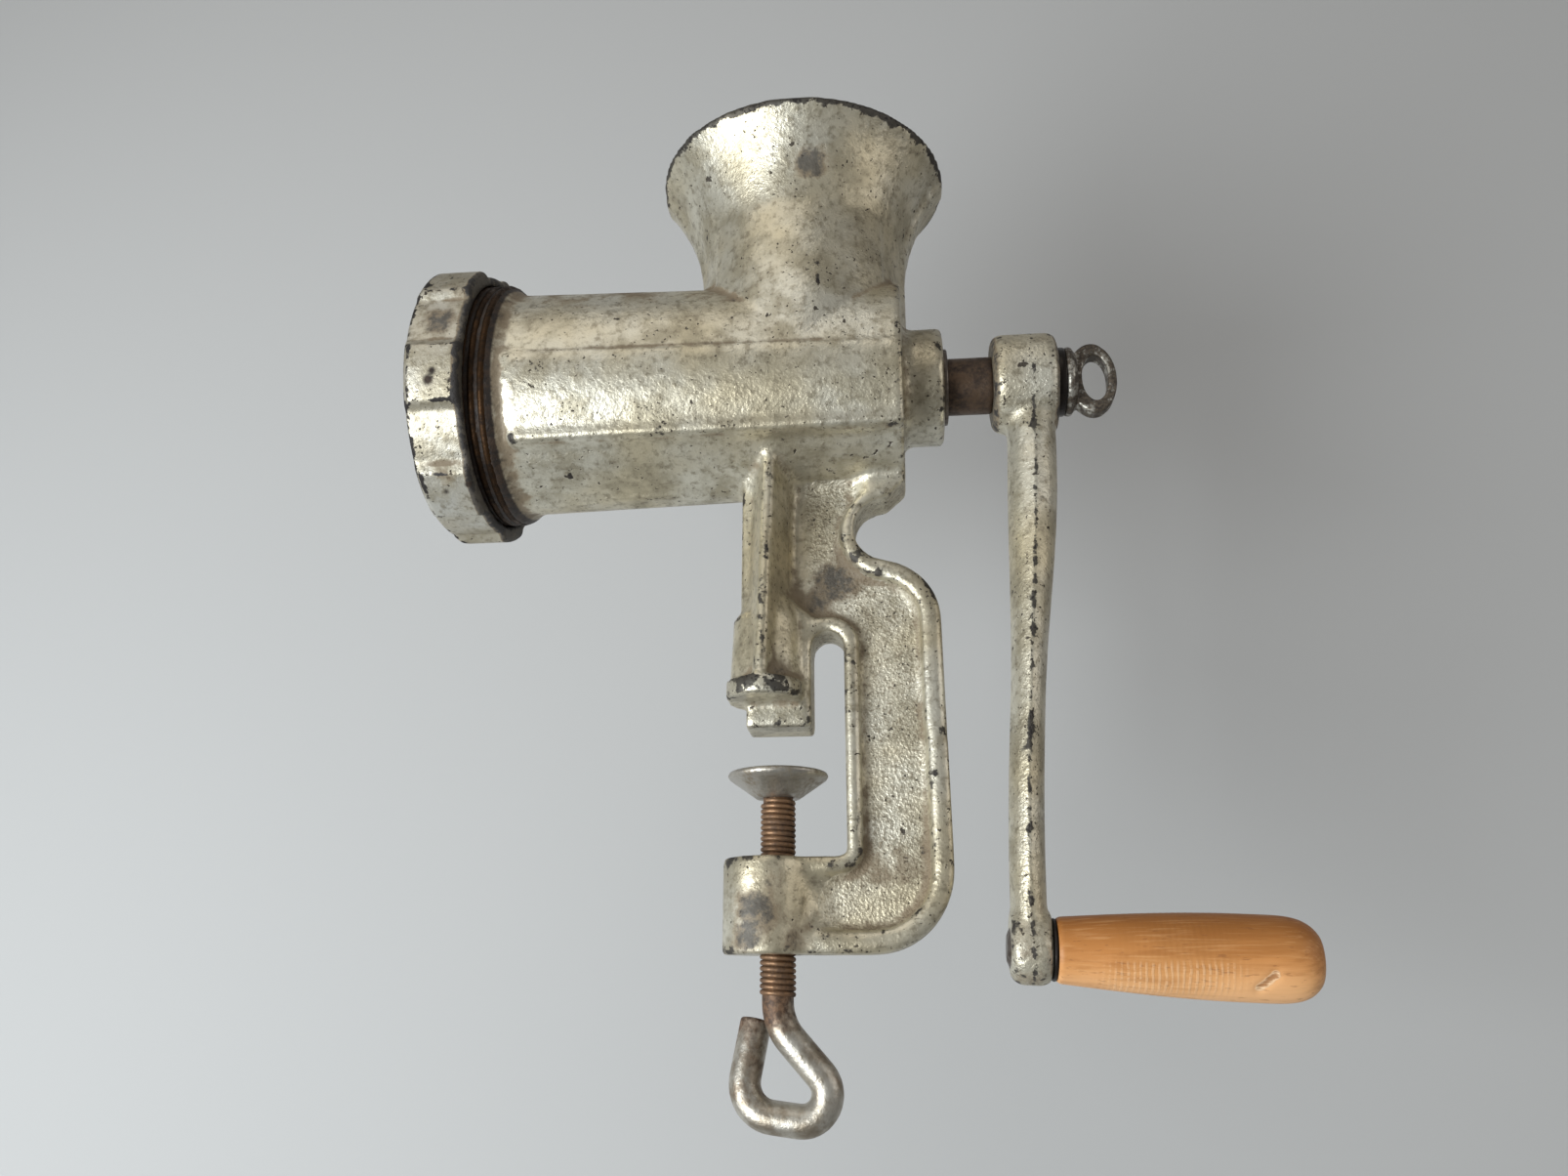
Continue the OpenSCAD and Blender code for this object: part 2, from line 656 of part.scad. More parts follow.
module thumb_screw() {
  tip_x = hub_end_x - thumb_len;
  collar_r = thumb_collar_d / 2;
  collar_edge = 2;
  eye_root = 2.2;
  eye_end = 2.8;
  eye_side = 4.2;
  eye_x = collar_x + collar_t;
  hole_rx = (eye_len - eye_root - eye_end) / 2;
  color("#7d776c") {
    on_shaft() rotate_extrude($fn = 32)
      polygon(concat([[0, tip_x]], thread_edge(thumb_d / 2, tip_x, collar_x, thumb_pitch),
        [[collar_r, collar_x], [collar_r, collar_x + collar_edge],
         [collar_r - collar_edge, eye_x], [0, eye_x]]));
    upright(eye_t) difference() {
      polygon(oval([eye_x + eye_len / 2 - over, axis_h], eye_len / 2 + over, eye_h / 2));
      polygon(oval([eye_x + eye_root + hole_rx, axis_h], hole_rx, eye_h / 2 - eye_side));
    }
  }
}

head_recess = 4;
spindle_end_x = grip_x + grip_len - head_recess;
spindle_head_r = spindle_r + 1.6;
spindle_head_t = 2.5;
rivet_h = 0.8;
rivet_r = spindle_r + 1.8;

// Lays a part that was drawn round Z along the grip's drooping axis, with its base at x
module on_grip(x) {
  translate([low_boss_x, 0, grip_z]) rotate([0, 90 + grip_droop, 0])
    translate([0, 0, x - low_boss_x]) children();
}

module grip_spindle() {
  boss_face = low_boss_x - low_boss_len / 2;
  end = spindle_end_x - boss_face;
  head = end - spindle_head_t;
  color("#6b645b") on_grip(boss_face) rotate_extrude()
    polygon([[0, -rivet_h], [spindle_r, -rivet_h], [rivet_r, 0], [spindle_r, 0], [spindle_r, head],
      [spindle_head_r, head], [spindle_head_r, end], [0, end]]);
}

module grip_washer() {
  margin = 0.4;
  color("#3b352f") on_grip(low_boss_x + low_boss_len / 2) difference() {
    cylinder(r = grip_r_in - margin, h = grip_washer_t);
    translate([0, 0, -over]) cylinder(r = spindle_r + run_gap, h = grip_washer_t + 2 * over);
  }
}

// Radius of the grip at share t of its length: slim at the crank, swelling to the outer third
swell_at = 0.72;
end_round = 0.6;
function grip_radius(t) =
  let (swell = sin(90 * min(1, t / swell_at)), rise = grip_r_in + (grip_r_max - grip_r_in) * swell,
       tail = max(0, (t - swell_at) / (1 - swell_at)))
  rise * sqrt(1 - end_round * pow(tail, 5));

module wooden_grip() {
  steps = 24;
  head_seat = spindle_end_x - spindle_head_t - free_gap - grip_x;
  edge = [for (i = [0:steps]) [grip_radius(i / steps), grip_len * i / steps]];
  color("#c98b52") on_grip(grip_x) difference() {
    rotate_extrude() polygon(concat([[0, 0]], edge, [[0, grip_len]]));
    translate([0, 0, -over]) cylinder(r = spindle_r + run_gap, h = grip_len + 2 * over);
    translate([0, 0, head_seat]) cylinder(r = spindle_head_r + free_gap, h = grip_len);
  }
}

// Bent rod: each step is a straight run and then a bend of radius r through angle a
eye_steps = [[3.1, 14.6, -42], [11.3, 6.8, 138.4], [7.4, 8.4, 94], [14.4, 0, 0]];
// How far the rod's end lies behind its start, so that it passes the first run
eye_back = 7.2;

// Places along the rod, as x, z and the heading from straight down
function eye_path(i = 0, p = [0, 0], h = 0) =
  let (run = eye_steps[i][0], r = eye_steps[i][1], a = eye_steps[i][2], side = sign(a),
       q = p + run * [sin(h), -cos(h)], c = q - side * r * [cos(h), sin(h)], n = max(1, ceil(abs(a) / 15)),
       bend = [for (k = [0:n]) let (t = h - a * k / n) [c.x + side * r * cos(t), c.y + side * r * sin(t), t]],
       end = bend[n])
  i == len(eye_steps) - 1 ? [[q.x, q.y, h]] : concat(bend, eye_path(i + 1, [end.x, end.y], h - a));

// Length of the rod up to place i of its path
function rod_reach(path, i) =
  i == 0 ? 0 : rod_reach(path, i - 1) + norm([path[i][0] - path[i - 1][0], path[i][1] - path[i - 1][1]]);

module bent_rod() {
  n = 14;
  path = concat([[0, 0, 0]], eye_path());
  steps = len(path) - 1;
  back = [for (i = [0:steps]) eye_back * pow(rod_reach(path, i) / rod_reach(path, steps), 2)];
  points = [for (i = [0:steps], j = [0:n - 1])
    let (p = path[i], b = 360 * j / n, u = cos(b) * rod_d / 2)
    [p[0] + u * cos(p[2]), back[i] + sin(b) * rod_d / 2, p[1] + u * sin(p[2])]];
  sides = [for (i = [0:steps - 1], j = [0:n - 1])
    let (a = n * i + j, b = n * i + (j + 1) % n) each [[a, b, a + n], [b, b + n, a + n]]];
  last = n * steps;
  caps = [for (j = [1:n - 2]) each [[0, j + 1, j], [last, last + j, last + j + 1]]];
  polyhedron(points, concat(sides, caps));
}

module clamp_screw() {
  rod_start = 2;
  edge = thread_edge(clamp_r, thread_low, thread_top, clamp_pitch);
  color("#7a6552") {
    rotate_extrude($fn = 32) polygon(concat([[0, thread_low]], edge, [[0, thread_top]]));
    translate([0, 0, pad_bottom - over]) cylinder(r = tenon_r, h = pad_h + over - free_gap);
    translate([0, 0, pad_top - free_gap - tenon_head_t]) cylinder(r = tenon_head_r, h = tenon_head_t);
    translate([0, 0, thread_low + rod_start]) bent_rod();
  }
}

module clamp_pad() {
  rim_t = 2;
  edge = 0.6;
  pad_r = pad_d / 2;
  under_r = clamp_r + 1.2;
  seat = pad_top - 2 * free_gap - tenon_head_t;
  color("#a9a69f") difference() {
    rotate_extrude()
      polygon([[0, pad_bottom], [under_r, pad_bottom], [pad_r - edge, pad_top - rim_t],
        [pad_r, pad_top - rim_t + edge], [pad_r, pad_top - edge], [pad_r - edge, pad_top], [0, pad_top]]);
    translate([0, 0, pad_bottom - over]) cylinder(r = tenon_r + run_gap, h = pad_h + 2 * over);
    translate([0, 0, seat]) cylinder(r = tenon_head_r + free_gap, h = pad_h);
  }
}

body_casting();
bearing_bush();
thrust_washer();
feed_screw();
knife_stud();
knife();
perforated_plate();
plate_key();
ring_nut();
crank_arm();
crank_washer();
thumb_screw();
grip_spindle();
grip_washer();
wooden_grip();
clamp_screw();
clamp_pad();
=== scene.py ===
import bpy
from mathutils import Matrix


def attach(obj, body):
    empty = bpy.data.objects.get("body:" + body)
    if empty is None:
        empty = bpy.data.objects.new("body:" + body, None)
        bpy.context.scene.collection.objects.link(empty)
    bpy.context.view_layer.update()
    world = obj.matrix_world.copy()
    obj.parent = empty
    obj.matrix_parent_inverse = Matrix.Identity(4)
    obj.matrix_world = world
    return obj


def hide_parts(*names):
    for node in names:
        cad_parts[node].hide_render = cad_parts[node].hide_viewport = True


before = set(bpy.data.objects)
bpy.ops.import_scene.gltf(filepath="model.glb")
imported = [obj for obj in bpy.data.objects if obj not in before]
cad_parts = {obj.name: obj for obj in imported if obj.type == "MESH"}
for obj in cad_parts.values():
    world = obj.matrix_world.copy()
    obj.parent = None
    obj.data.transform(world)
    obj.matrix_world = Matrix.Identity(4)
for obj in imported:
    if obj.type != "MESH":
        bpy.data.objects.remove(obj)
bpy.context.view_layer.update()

from math import cos, pi, radians, sin, tau

import bmesh
import bpy
import numpy as np
from mathutils import Matrix, Vector

# Body casting: barrel, hopper, stem, jaw and C-shaped clamp frame in one piece of grey iron, sand-cast
# and dipped in tin. The mould leaves soft fillets and a pitted skin, and years of use have rubbed the
# edges black and left brown grease in the hollows. Painted shade darkens the barrel's upper side, with
# some grease, and draws dark lines at the step above its panel and under its bead.
MM = 0.001
AXIS_H = 108.5 * MM
BARREL_FRONT_X = -82 * MM
BARREL_REAR_X = 39 * MM
BEAD_A = radians(48)
PANEL_TOP_A = radians(88)
BEAD_LIFT = 0.45 * MM
BEAD_W = 1.3 * MM
SHADE_LINE_W = 1.1 * MM
FAR_OFF = 1.0
BODY_SOOT = (((17, -4, 44), 9, 1.3), ((12, -5, 38), 7, 1.2), ((-5, -13, -51), 8, 1.35),
             ((-7, -12, -57), 6, 1.3), ((-1, -13, -44), 7, 0.9), ((13.5, -36, 168), 6, 1.5),
             ((30, -4, -40), 14, 0.6), ((6, -10, -58), 6, 0.9), ((2, -14, 14), 7, 0.8))


class Wire:
    """A socket of a material's node tree, with arithmetic that adds Math nodes."""

    def __init__(self, tree, socket=None):
        self.tree = tree
        self.socket = socket

    def node(self, kind, settings, sockets, out=0):
        """Adds a node: its settings first, then the values or links of its sockets."""
        made = self.tree.nodes.new(kind)
        for name, value in settings.items():
            setattr(made, name, value)
        for key, value in sockets.items():
            if isinstance(value, Wire):
                self.tree.links.new(value.socket, made.inputs[key])
            else:
                made.inputs[key].default_value = value
        return Wire(self.tree, made.outputs[out])

    def maths(self, operation, first, second):
        return self.node("ShaderNodeMath", {"operation": operation}, {0: first, 1: second})

    def __add__(self, other):
        return self.maths("ADD", self, other)

    __radd__ = __add__

    def __sub__(self, other):
        return self.maths("SUBTRACT", self, other)

    def __rsub__(self, other):
        return self.maths("SUBTRACT", other, self)

    def __mul__(self, other):
        return self.maths("MULTIPLY", self, other)

    __rmul__ = __mul__

    def most(self, other):
        return self.maths("MAXIMUM", self, other)

    def between(self, low, high):
        """0 below low, 1 above high, and smooth in between."""
        return self.node("ShaderNodeMapRange", {"interpolation_type": "SMOOTHSTEP"},
                         {"Value": self, "From Min": low, "From Max": high})

    def speckle(self, scale, detail=3.0, rough=0.55):
        """Noise at these coordinates."""
        return self.node("ShaderNodeTexNoise", {},
                         {"Vector": self, "Scale": scale, "Detail": detail, "Roughness": rough})

    def stretched(self, scale):
        """These coordinates, scaled along each axis."""
        return self.node("ShaderNodeMapping", {}, {"Vector": self, "Scale": scale})

    def over(self, below, above):
        """Mixes two colours by this factor."""
        return self.node("ShaderNodeMix", {"data_type": "RGBA"}, {0: self, 6: below, 7: above}, out=2)


def rgb(red, green, blue):
    return (red, green, blue, 1)


def new_material(name, base):
    """A material with a plain colour for previews, its Principled shader and a wire on Object coordinates."""
    material = bpy.data.materials.new(name)
    material.use_nodes = True
    material.diffuse_color = base
    tree = material.node_tree
    coords = Wire(tree).node("ShaderNodeTexCoord", {}, {}, out="Object")
    return material, tree.nodes["Principled BSDF"], coords


def finish_shader(shader, wire, **links):
    """Feeds the shader's varying sockets."""
    for name, value in links.items():
        wire.tree.links.new(value.socket, shader.inputs[name.replace("_", " ")])


CREAM_TIN = rgb(0.53, 0.465, 0.325)
GREY_TIN = rgb(0.60, 0.57, 0.475)


def tinned_iron(name, cream, grey, worn, stained, grain, dullness):
    """Tinned cast iron: a cream skin, mottled grey, with black pits, brown grease where it is hollow, brown
    grease and painted shade where the grime mask is set, edges rubbed black and rust. worn and stained weigh
    the rubbing and the grease with its painted shade, grain is the depth of the skin, and dullness is the
    roughness of clean tin."""
    material, shader, at = new_material(name, rgb(0.47, 0.44, 0.35))
    edge, hollow, pitted, grime_and_shade, rusty = (
        at.node("ShaderNodeAttribute", {"attribute_name": mask}, {}, out="Fac")
        for mask in ("edge", "hollow", "pitted", "grime_and_shade", "rusty"))
    broad = at.speckle(28, 3)
    patch = at.speckle(85, 5, 0.62)
    fine = at.speckle(430, 4, 0.65)
    grit = at.speckle(1100, 2)
    tin = broad.between(0.36, 0.64).over(cream, grey)
    tin = (patch.between(0.42, 0.66) * 0.75).over(tin, rgb(0.31, 0.272, 0.19))
    tin = (fine.between(0.47, 0.70) * 0.7).over(tin, rgb(0.21, 0.178, 0.122))
    tin = ((pitted * grit).between(0.52, 0.66) * 0.6).over(tin, rgb(0.20, 0.16, 0.105))
    spots = at.speckle(900, 2, 0.5) + patch * 0.25 + edge * 0.08 + pitted * 0.02
    flake = at.speckle(240, 3, 0.55)
    chips = flake + broad * 0.25
    pits = spots.between(0.815, 0.85).most(chips.between(0.83, 0.85))
    tin = (pits * 0.92).over(tin, rgb(0.035, 0.026, 0.02))
    # The grime mask carries real grease and painted shade alike, so this brown-black film paints shade as
    # well as grease.
    soil = hollow * 0.5 + grime_and_shade * 0.85 + patch * 1.1 + flake * 0.5 + fine * 0.4 - 1.1
    grease_and_shade = soil.between(0.25, 0.68) * stained
    grease_and_shade_film = (grime_and_shade * fine).between(0.36, 0.62).over(rgb(0.17, 0.125, 0.075), rgb(0.04, 0.032, 0.026))
    tin = (grease_and_shade * 0.88).over(tin, grease_and_shade_film)
    rubbed = (edge * 0.5 + patch * 1.2 + flake * 1.6 + fine * 0.7 - 1.75).between(0.42, 0.58) * worn
    tin = rubbed.over(tin, rgb(0.035, 0.031, 0.029))
    brown = (rusty * 1.1 + patch * 0.4 + fine * 0.25 - 0.35).between(0.2, 0.75)
    rust = fine.between(0.35, 0.65).over(rgb(0.035, 0.019, 0.010), rgb(0.010, 0.006, 0.004))
    tin = brown.over(tin, rust)
    dull = pits.most(grease_and_shade).most(rubbed).most(brown)
    rough = patch.between(0.3, 0.75) * 0.12 + dull * 0.2 + pitted * 0.10 + dullness
    metal = 0.74 - grease_and_shade * 0.6 - pitted * 0.2 - brown * 0.5
    height = patch * 0.45 + fine * 0.30 + grit * 0.12 + pitted * grit * 0.7 - pits * 0.3
    bump = at.node("ShaderNodeBump", {}, {"Strength": grain, "Distance": 0.0011, "Height": height})
    finish_shader(shader, at, Base_Color=tin, Roughness=rough, Metallic=metal, Normal=bump)
    return material


def put(name, mesh):
    piece = bpy.data.objects.new(name, mesh)
    bpy.context.scene.collection.objects.link(piece)
    return piece


def made_plain(piece):
    """Turns a piece's modifiers into a plain mesh."""
    bpy.context.view_layer.update()
    graph = bpy.context.evaluated_depsgraph_get()
    mesh = bpy.data.meshes.new_from_object(piece.evaluated_get(graph))
    piece.modifiers.clear()
    piece.data = mesh
    return piece


def welded_copy(node, name):
    """A new piece with the welded mesh of a CAD node."""
    solid = bmesh.new()
    solid.from_mesh(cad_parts[node].data)
    bmesh.ops.remove_doubles(solid, verts=solid.verts, dist=1e-6)
    mesh = bpy.data.meshes.new(name)
    solid.to_mesh(mesh)
    solid.free()
    return put(name, mesh)


def coordinates(mesh):
    places = np.empty(len(mesh.vertices) * 3)
    mesh.vertices.foreach_get("co", places)
    return places.reshape(-1, 3)


def directions(mesh):
    normals = np.empty(len(mesh.vertices) * 3)
    mesh.vertex_normals.foreach_get("vector", normals)
    return normals.reshape(-1, 3)


def move_to(mesh, places):
    mesh.vertices.foreach_set("co", places.ravel())
    mesh.update()


class Skin:
    """The neighbours of each vertex, for rounding a cast surface over."""

    def __init__(self, mesh):
        ends = np.empty(len(mesh.edges) * 2, np.int32)
        mesh.edges.foreach_get("vertices", ends)
        self.first, self.second = ends.reshape(-1, 2).T
        self.size = len(mesh.vertices)
        self.count = np.bincount(ends, minlength=self.size)

    def mean(self, values):
        if values.ndim == 2:
            return np.stack([self.mean(column) for column in values.T], 1)
        total = np.bincount(self.first, values[self.second], self.size)
        return (total + np.bincount(self.second, values[self.first], self.size)) / self.count

    def bend(self, places, normals):
        """How sharply the surface bends, in 1/m: above 0 in a hollow, below 0 on an edge."""
        lift = ((self.mean(places) - places) * normals).sum(1)
        square = (places ** 2).sum(1)
        spread = self.mean(square) - 2 * (self.mean(places) * places).sum(1) + square
        return 4 * lift / np.maximum(spread, 1e-12)


def store(mesh, name, values):
    mesh.attributes.new(name, "FLOAT", "POINT").data.foreach_set("value", values)


def cast_copy(node, name, voxel, hollow_r, edge_r, passes):
    """A CAD solid as it leaves the mould: even cells, hollows filled to hollow_r and edges rounded to edge_r
    in a number of passes. Each radius is a number, or a function that gives one for each vertex's place."""
    piece = welded_copy(node, name)
    cells = piece.modifiers.new("cells", "REMESH")
    cells.mode = "VOXEL"
    cells.voxel_size = voxel
    mesh = made_plain(piece).data
    skin = Skin(mesh)
    places = coordinates(mesh)
    shrink_and_swell = (0.5, -0.53)
    pace, limit = 0.2 * voxel ** 2, 0.3 * voxel
    for step in shrink_and_swell * 6:
        places += step * (skin.mean(places) - places)
    move_to(mesh, places)
    hollow_r, edge_r = (r(places) if callable(r) else r for r in (hollow_r, edge_r))
    for _ in range(passes):
        normals = directions(mesh)
        bend = skin.bend(places, normals)
        fill = np.maximum(bend - 1 / hollow_r, 0) + np.minimum(bend + 1 / edge_r, 0)
        places += normals * (pace * fill)[:, None].clip(-limit, limit)
        move_to(mesh, places)
    for step in shrink_and_swell * 3:
        places += step * (skin.mean(places) - places)
    move_to(mesh, places)
    wear(piece, skin)
    mesh.shade_smooth()
    return piece


def wear(piece, skin, sharp=90.0, deep=60.0):
    """Stores where the surface is an edge and where it is a hollow."""
    mesh = piece.data
    bend = skin.bend(coordinates(mesh), directions(mesh))
    for _ in range(3):
        bend = 0.5 * bend + 0.5 * skin.mean(bend)
    store(mesh, "edge", np.clip((-bend - sharp) / (3 * sharp), 0, 1))
    store(mesh, "hollow", np.clip((bend - deep) / (3 * deep), 0, 1))


def dress(piece, material, body, slot, *nodes):
    """Gives a piece its finish, and lets it stand for its CAD nodes on their body."""
    piece.data.materials.clear()
    piece.data.materials.append(material)
    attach(piece, body)
    if nodes:
        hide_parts(*nodes)


def within(values, low, high):
    return (values > low) & (values < high)


def body_fillets(places):
    """Crisp steps on the barrel's panels and at the foot's lip, small fillets round the frame's web, and wide
    ones at the clamp screw's boss and where the hopper meets the barrel."""
    x, y, z = places.T
    from_axis = np.hypot(y, z - AXIS_H)
    web = (z < 70 * MM) & (x > 12 * MM)
    boss = (z < -30 * MM) & (x < 17 * MM)
    foot = within(z, -8 * MM, 16 * MM) & (x < 12 * MM)
    hopper_root = within(z, AXIS_H + 26 * MM, AXIS_H + 50 * MM)
    panel = within(x, BARREL_FRONT_X, BARREL_REAR_X) & (from_axis < 39 * MM) & (np.abs(y) > 15 * MM)
    inside = (from_axis < 32 * MM) & (x < BARREL_REAR_X)
    radius = np.full(len(x), 4.5 * MM)
    for part, size in ((web, 2.2), (boss, 9), (foot, 0.9), (hopper_root, 9), (panel & ~inside, 0.9)):
        radius[part] = size * MM
    return radius


def body_edges(places):
    """A round bead on the clamp frame's outside, a flat land on its inside, a crisp lip and jaw, crisp panels
    on the barrel and soft edges elsewhere."""
    x, y, z = places.T
    bead = (z < 68 * MM) & (x > 16 * MM)
    land = within(z, -36 * MM, 40 * MM) & (x < 23.5 * MM)
    jaw = within(z, -8 * MM, 16 * MM) & (x < 12 * MM)
    panel = within(z, AXIS_H - 40 * MM, AXIS_H + 26 * MM) & (x < BARREL_REAR_X) & (np.abs(y) > 15 * MM)
    radius = np.full(len(x), 1.5 * MM)
    for part, size in ((bead, 2.8), (land, 1.0), (jaw, 0.7), (panel, 0.9)):
        radius[part] = size * MM
    return radius


def blots(places, *spots):
    """How strongly each vertex lies in a soft round spot, given as place and radius in mm, and weight."""
    weight = np.zeros(len(places))
    for spot, radius, strength in spots:
        away = np.linalg.norm(places - np.array(spot) * MM, axis=1) / (radius * MM)
        weight = np.maximum(weight, strength * np.exp(-away ** 2))
    return weight


body = cast_copy("body_casting", "body_of_the_grinder", 1.2 * MM, body_fillets, body_edges, 140)
places = coordinates(body.data)
x, y, z = places.T
side = np.abs(y)
from_axis = np.hypot(y, z - AXIS_H)
from_below = np.arctan2(side, AXIS_H - z)
outside = within(x, BARREL_FRONT_X, BARREL_REAR_X) & within(from_axis, 33 * MM, 42 * MM)
beside_bead = np.where(outside, (from_below - BEAD_A) * from_axis, FAR_OFF)
beside_panel = np.where(outside, (from_below - PANEL_TOP_A) * from_axis, FAR_OFF)
places += directions(body.data) * (BEAD_LIFT * np.exp(-(beside_bead / BEAD_W) ** 2))[:, None]
move_to(body.data, places)
up = directions(body.data)[:, 2]
rubbed = np.empty(len(x))
body.data.attributes["edge"].data.foreach_get("value", rubbed)
inner_land = within(x, 15 * MM, 24 * MM) & within(z, -36 * MM, 40 * MM)
foot_lip = within(z, 7.6 * MM, 12.2 * MM) & (y < -18.5 * MM) & (x < 9 * MM)
hopper_rim = np.clip((z - 181 * MM) / (2 * MM), 0, 1)
rubbed *= np.where(inner_land, 0.45, 0.7)
rubbed[foot_lip] = 1.3
body.data.attributes["edge"].data.foreach_set("value", np.maximum(rubbed, 1.6 * hopper_rim))
web = (side < 5 * MM) & within(x, 8 * MM, 48 * MM) & (z < 80 * MM)
store(body.data, "pitted", web.astype(float))
bare_mouth = np.clip((-80.8 * MM - x) / (1.5 * MM), 0, 1)
store(body.data, "rusty", bare_mouth)
near_mouth = np.clip((-70 * MM - x) / (12 * MM), 0, 1)
# Painted shade: the barrel's upward-facing side is darkened (part grease, part painted shade), a dark line is
# painted along the step above the panel, and a painted shadow runs under the bead. These join the soot blots
# and the grease near the mouth in the mask of soot and painted shade that the tin's grease colour follows.
barrel_top = within(x, BARREL_FRONT_X, BARREL_REAR_X) & within(z, AXIS_H, AXIS_H + 40 * MM)
soot_and_shade = blots(places, *BODY_SOOT)
for line in (0.8 * np.exp(-((beside_panel - 0.9 * MM) / SHADE_LINE_W) ** 2),
             0.6 * np.exp(-((beside_bead + 2.2 * MM) / SHADE_LINE_W) ** 2),
             np.where(barrel_top, 0.92 * np.clip(up, 0, 1), 0), 0.85 * near_mouth):
    soot_and_shade = np.maximum(soot_and_shade, line)
store(body.data, "grime_and_shade", soot_and_shade)
body_tin = tinned_iron("tinned_iron", CREAM_TIN, GREY_TIN, 0.9, 1.0, 0.6, 0.33)
dress(body, body_tin, "frame", "tinned_iron", "body_casting")

# Mouth thread: coarse right-hand thread cut on the barrel's mouth, which the screw ring runs on.
# It is bare iron, brown with rust and old grease where the ring leaves it open.
MOUTH_CREST_R = 38.4 * MM
MOUTH_PITCH = 3 * MM
MOUTH_RIDGE = 1.3 * MM
MOUTH_THREAD_X = -99.9 * MM
MOUTH_THREAD_LEN = 17 * MM


def rusty_iron(name, pale, dark, grain):
    """Bare iron under brown rust, darker in patches."""
    material, shader, at = new_material(name, pale)
    patch = at.speckle(160, 5, 0.65)
    fine = at.speckle(900, 4, 0.6)
    rust = (patch * 0.7 + fine * 0.3).between(0.40, 0.62)
    height = fine * 0.6 + patch * 0.4
    bump = at.node("ShaderNodeBump", {}, {"Strength": grain, "Distance": 0.0006, "Height": height})
    finish_shader(shader, at, Base_Color=rust.over(pale, dark), Roughness=rust * 0.25 + 0.45,
                  Metallic=0.75 - rust * 0.5, Normal=bump)
    return material


def new_tree(name, output, **inputs):
    """An empty geometry tree with named inputs and one output, and the sockets of those inputs."""
    tree = bpy.data.node_groups.new(name, "GeometryNodeTree")
    for label, kind in inputs.items():
        tree.interface.new_socket(label.replace("_", " "), in_out="INPUT", socket_type="NodeSocket" + kind)
    tree.interface.new_socket(output, in_out="OUTPUT", socket_type="NodeSocketGeometry")
    return tree, tree.nodes.new("NodeGroupInput").outputs


def sweep_profile(tree, curve, profile, finish):
    """Ends a tree: sweeps the profile along the curve, as a real mesh with its finish."""
    nodes, link = tree.nodes, tree.links.new
    sweep = nodes.new("GeometryNodeCurveToMesh")
    sweep.inputs["Fill Caps"].default_value = True
    link(curve, sweep.inputs["Curve"])
    link(profile, sweep.inputs["Profile Curve"])
    real = nodes.new("GeometryNodeRealizeInstances")
    link(sweep.outputs[0], real.inputs[0])
    coat = nodes.new("GeometryNodeSetMaterial")
    link(real.outputs[0], coat.inputs["Geometry"])
    link(finish, coat.inputs["Material"])
    link(coat.outputs[0], nodes.new("NodeGroupOutput").inputs[0])
    return tree


def thread_tree():
    """Node tree that winds a ridge round the Z axis: radius over the crest, pitch, length and ridge."""
    tree, sizes = new_tree("wound thread", "Thread", Crest_radius="Float", Pitch="Float", Length="Float",
                           Ridge="Float", Material="Material")
    nodes, link = tree.nodes, tree.links.new
    turns = nodes.new("ShaderNodeMath")
    turns.operation = "DIVIDE"
    link(sizes["Length"], turns.inputs[0])
    link(sizes["Pitch"], turns.inputs[1])
    root = nodes.new("ShaderNodeMath")
    root.operation = "SUBTRACT"
    link(sizes["Crest radius"], root.inputs[0])
    link(sizes["Ridge"], root.inputs[1])
    helix = nodes.new("GeometryNodeCurveSpiral")
    helix.inputs["Resolution"].default_value = 40
    link(turns.outputs[0], helix.inputs["Rotations"])
    link(root.outputs[0], helix.inputs["Start Radius"])
    link(root.outputs[0], helix.inputs["End Radius"])
    link(sizes["Length"], helix.inputs["Height"])
    level = nodes.new("GeometryNodeSetCurveNormal")
    level.mode = "Z_UP"
    link(helix.outputs[0], level.inputs[0])
    profile = nodes.new("GeometryNodeCurvePrimitiveCircle")
    profile.inputs["Resolution"].default_value = 8
    link(sizes["Ridge"], profile.inputs["Radius"])
    return sweep_profile(tree, level.outputs[0], profile.outputs[0], sizes["Material"])


def grown(name, tree, sizes, place=None, seed_mesh=None):
    """A plain mesh made by a node tree, with its sizes set by socket, then laid in its place."""
    piece = put(name, seed_mesh or bpy.data.meshes.new(name))
    modifier = piece.modifiers.new("made", "NODES")
    modifier.node_group = tree
    for item in tree.interface.items_tree:
        if item.in_out == "INPUT" and item.name in sizes:
            modifier[item.identifier] = sizes[item.name]
    made_plain(piece)
    if place is not None:
        piece.data.transform(place)
    closed = bmesh.new()
    closed.from_mesh(piece.data)
    bmesh.ops.remove_doubles(closed, verts=closed.verts, dist=1e-7)
    bmesh.ops.recalc_face_normals(closed, faces=closed.faces)
    closed.to_mesh(piece.data)
    closed.free()
    return piece


def along_shaft(x):
    """Lays what was made round Z along the shaft, with its base at x."""
    return Matrix.Translation((x, 0, AXIS_H)) @ Matrix.Rotation(pi / 2, 4, "Y")


screw_thread = thread_tree()
mouth_rust = rusty_iron("mouth_rust", rgb(0.045, 0.023, 0.010), rgb(0.011, 0.006, 0.003), 0.5)
mouth_rust.node_tree.nodes["Principled BSDF"].inputs["Specular IOR Level"].default_value = 0.15
mouth_thread = grown("mouth_thread", screw_thread, {
    "Crest radius": MOUTH_CREST_R, "Pitch": MOUTH_PITCH, "Length": MOUTH_THREAD_LEN, "Ridge": MOUTH_RIDGE,
    "Material": mouth_rust}, along_shaft(MOUTH_THREAD_X))
dress(mouth_thread, mouth_rust, "frame", "worn_iron")

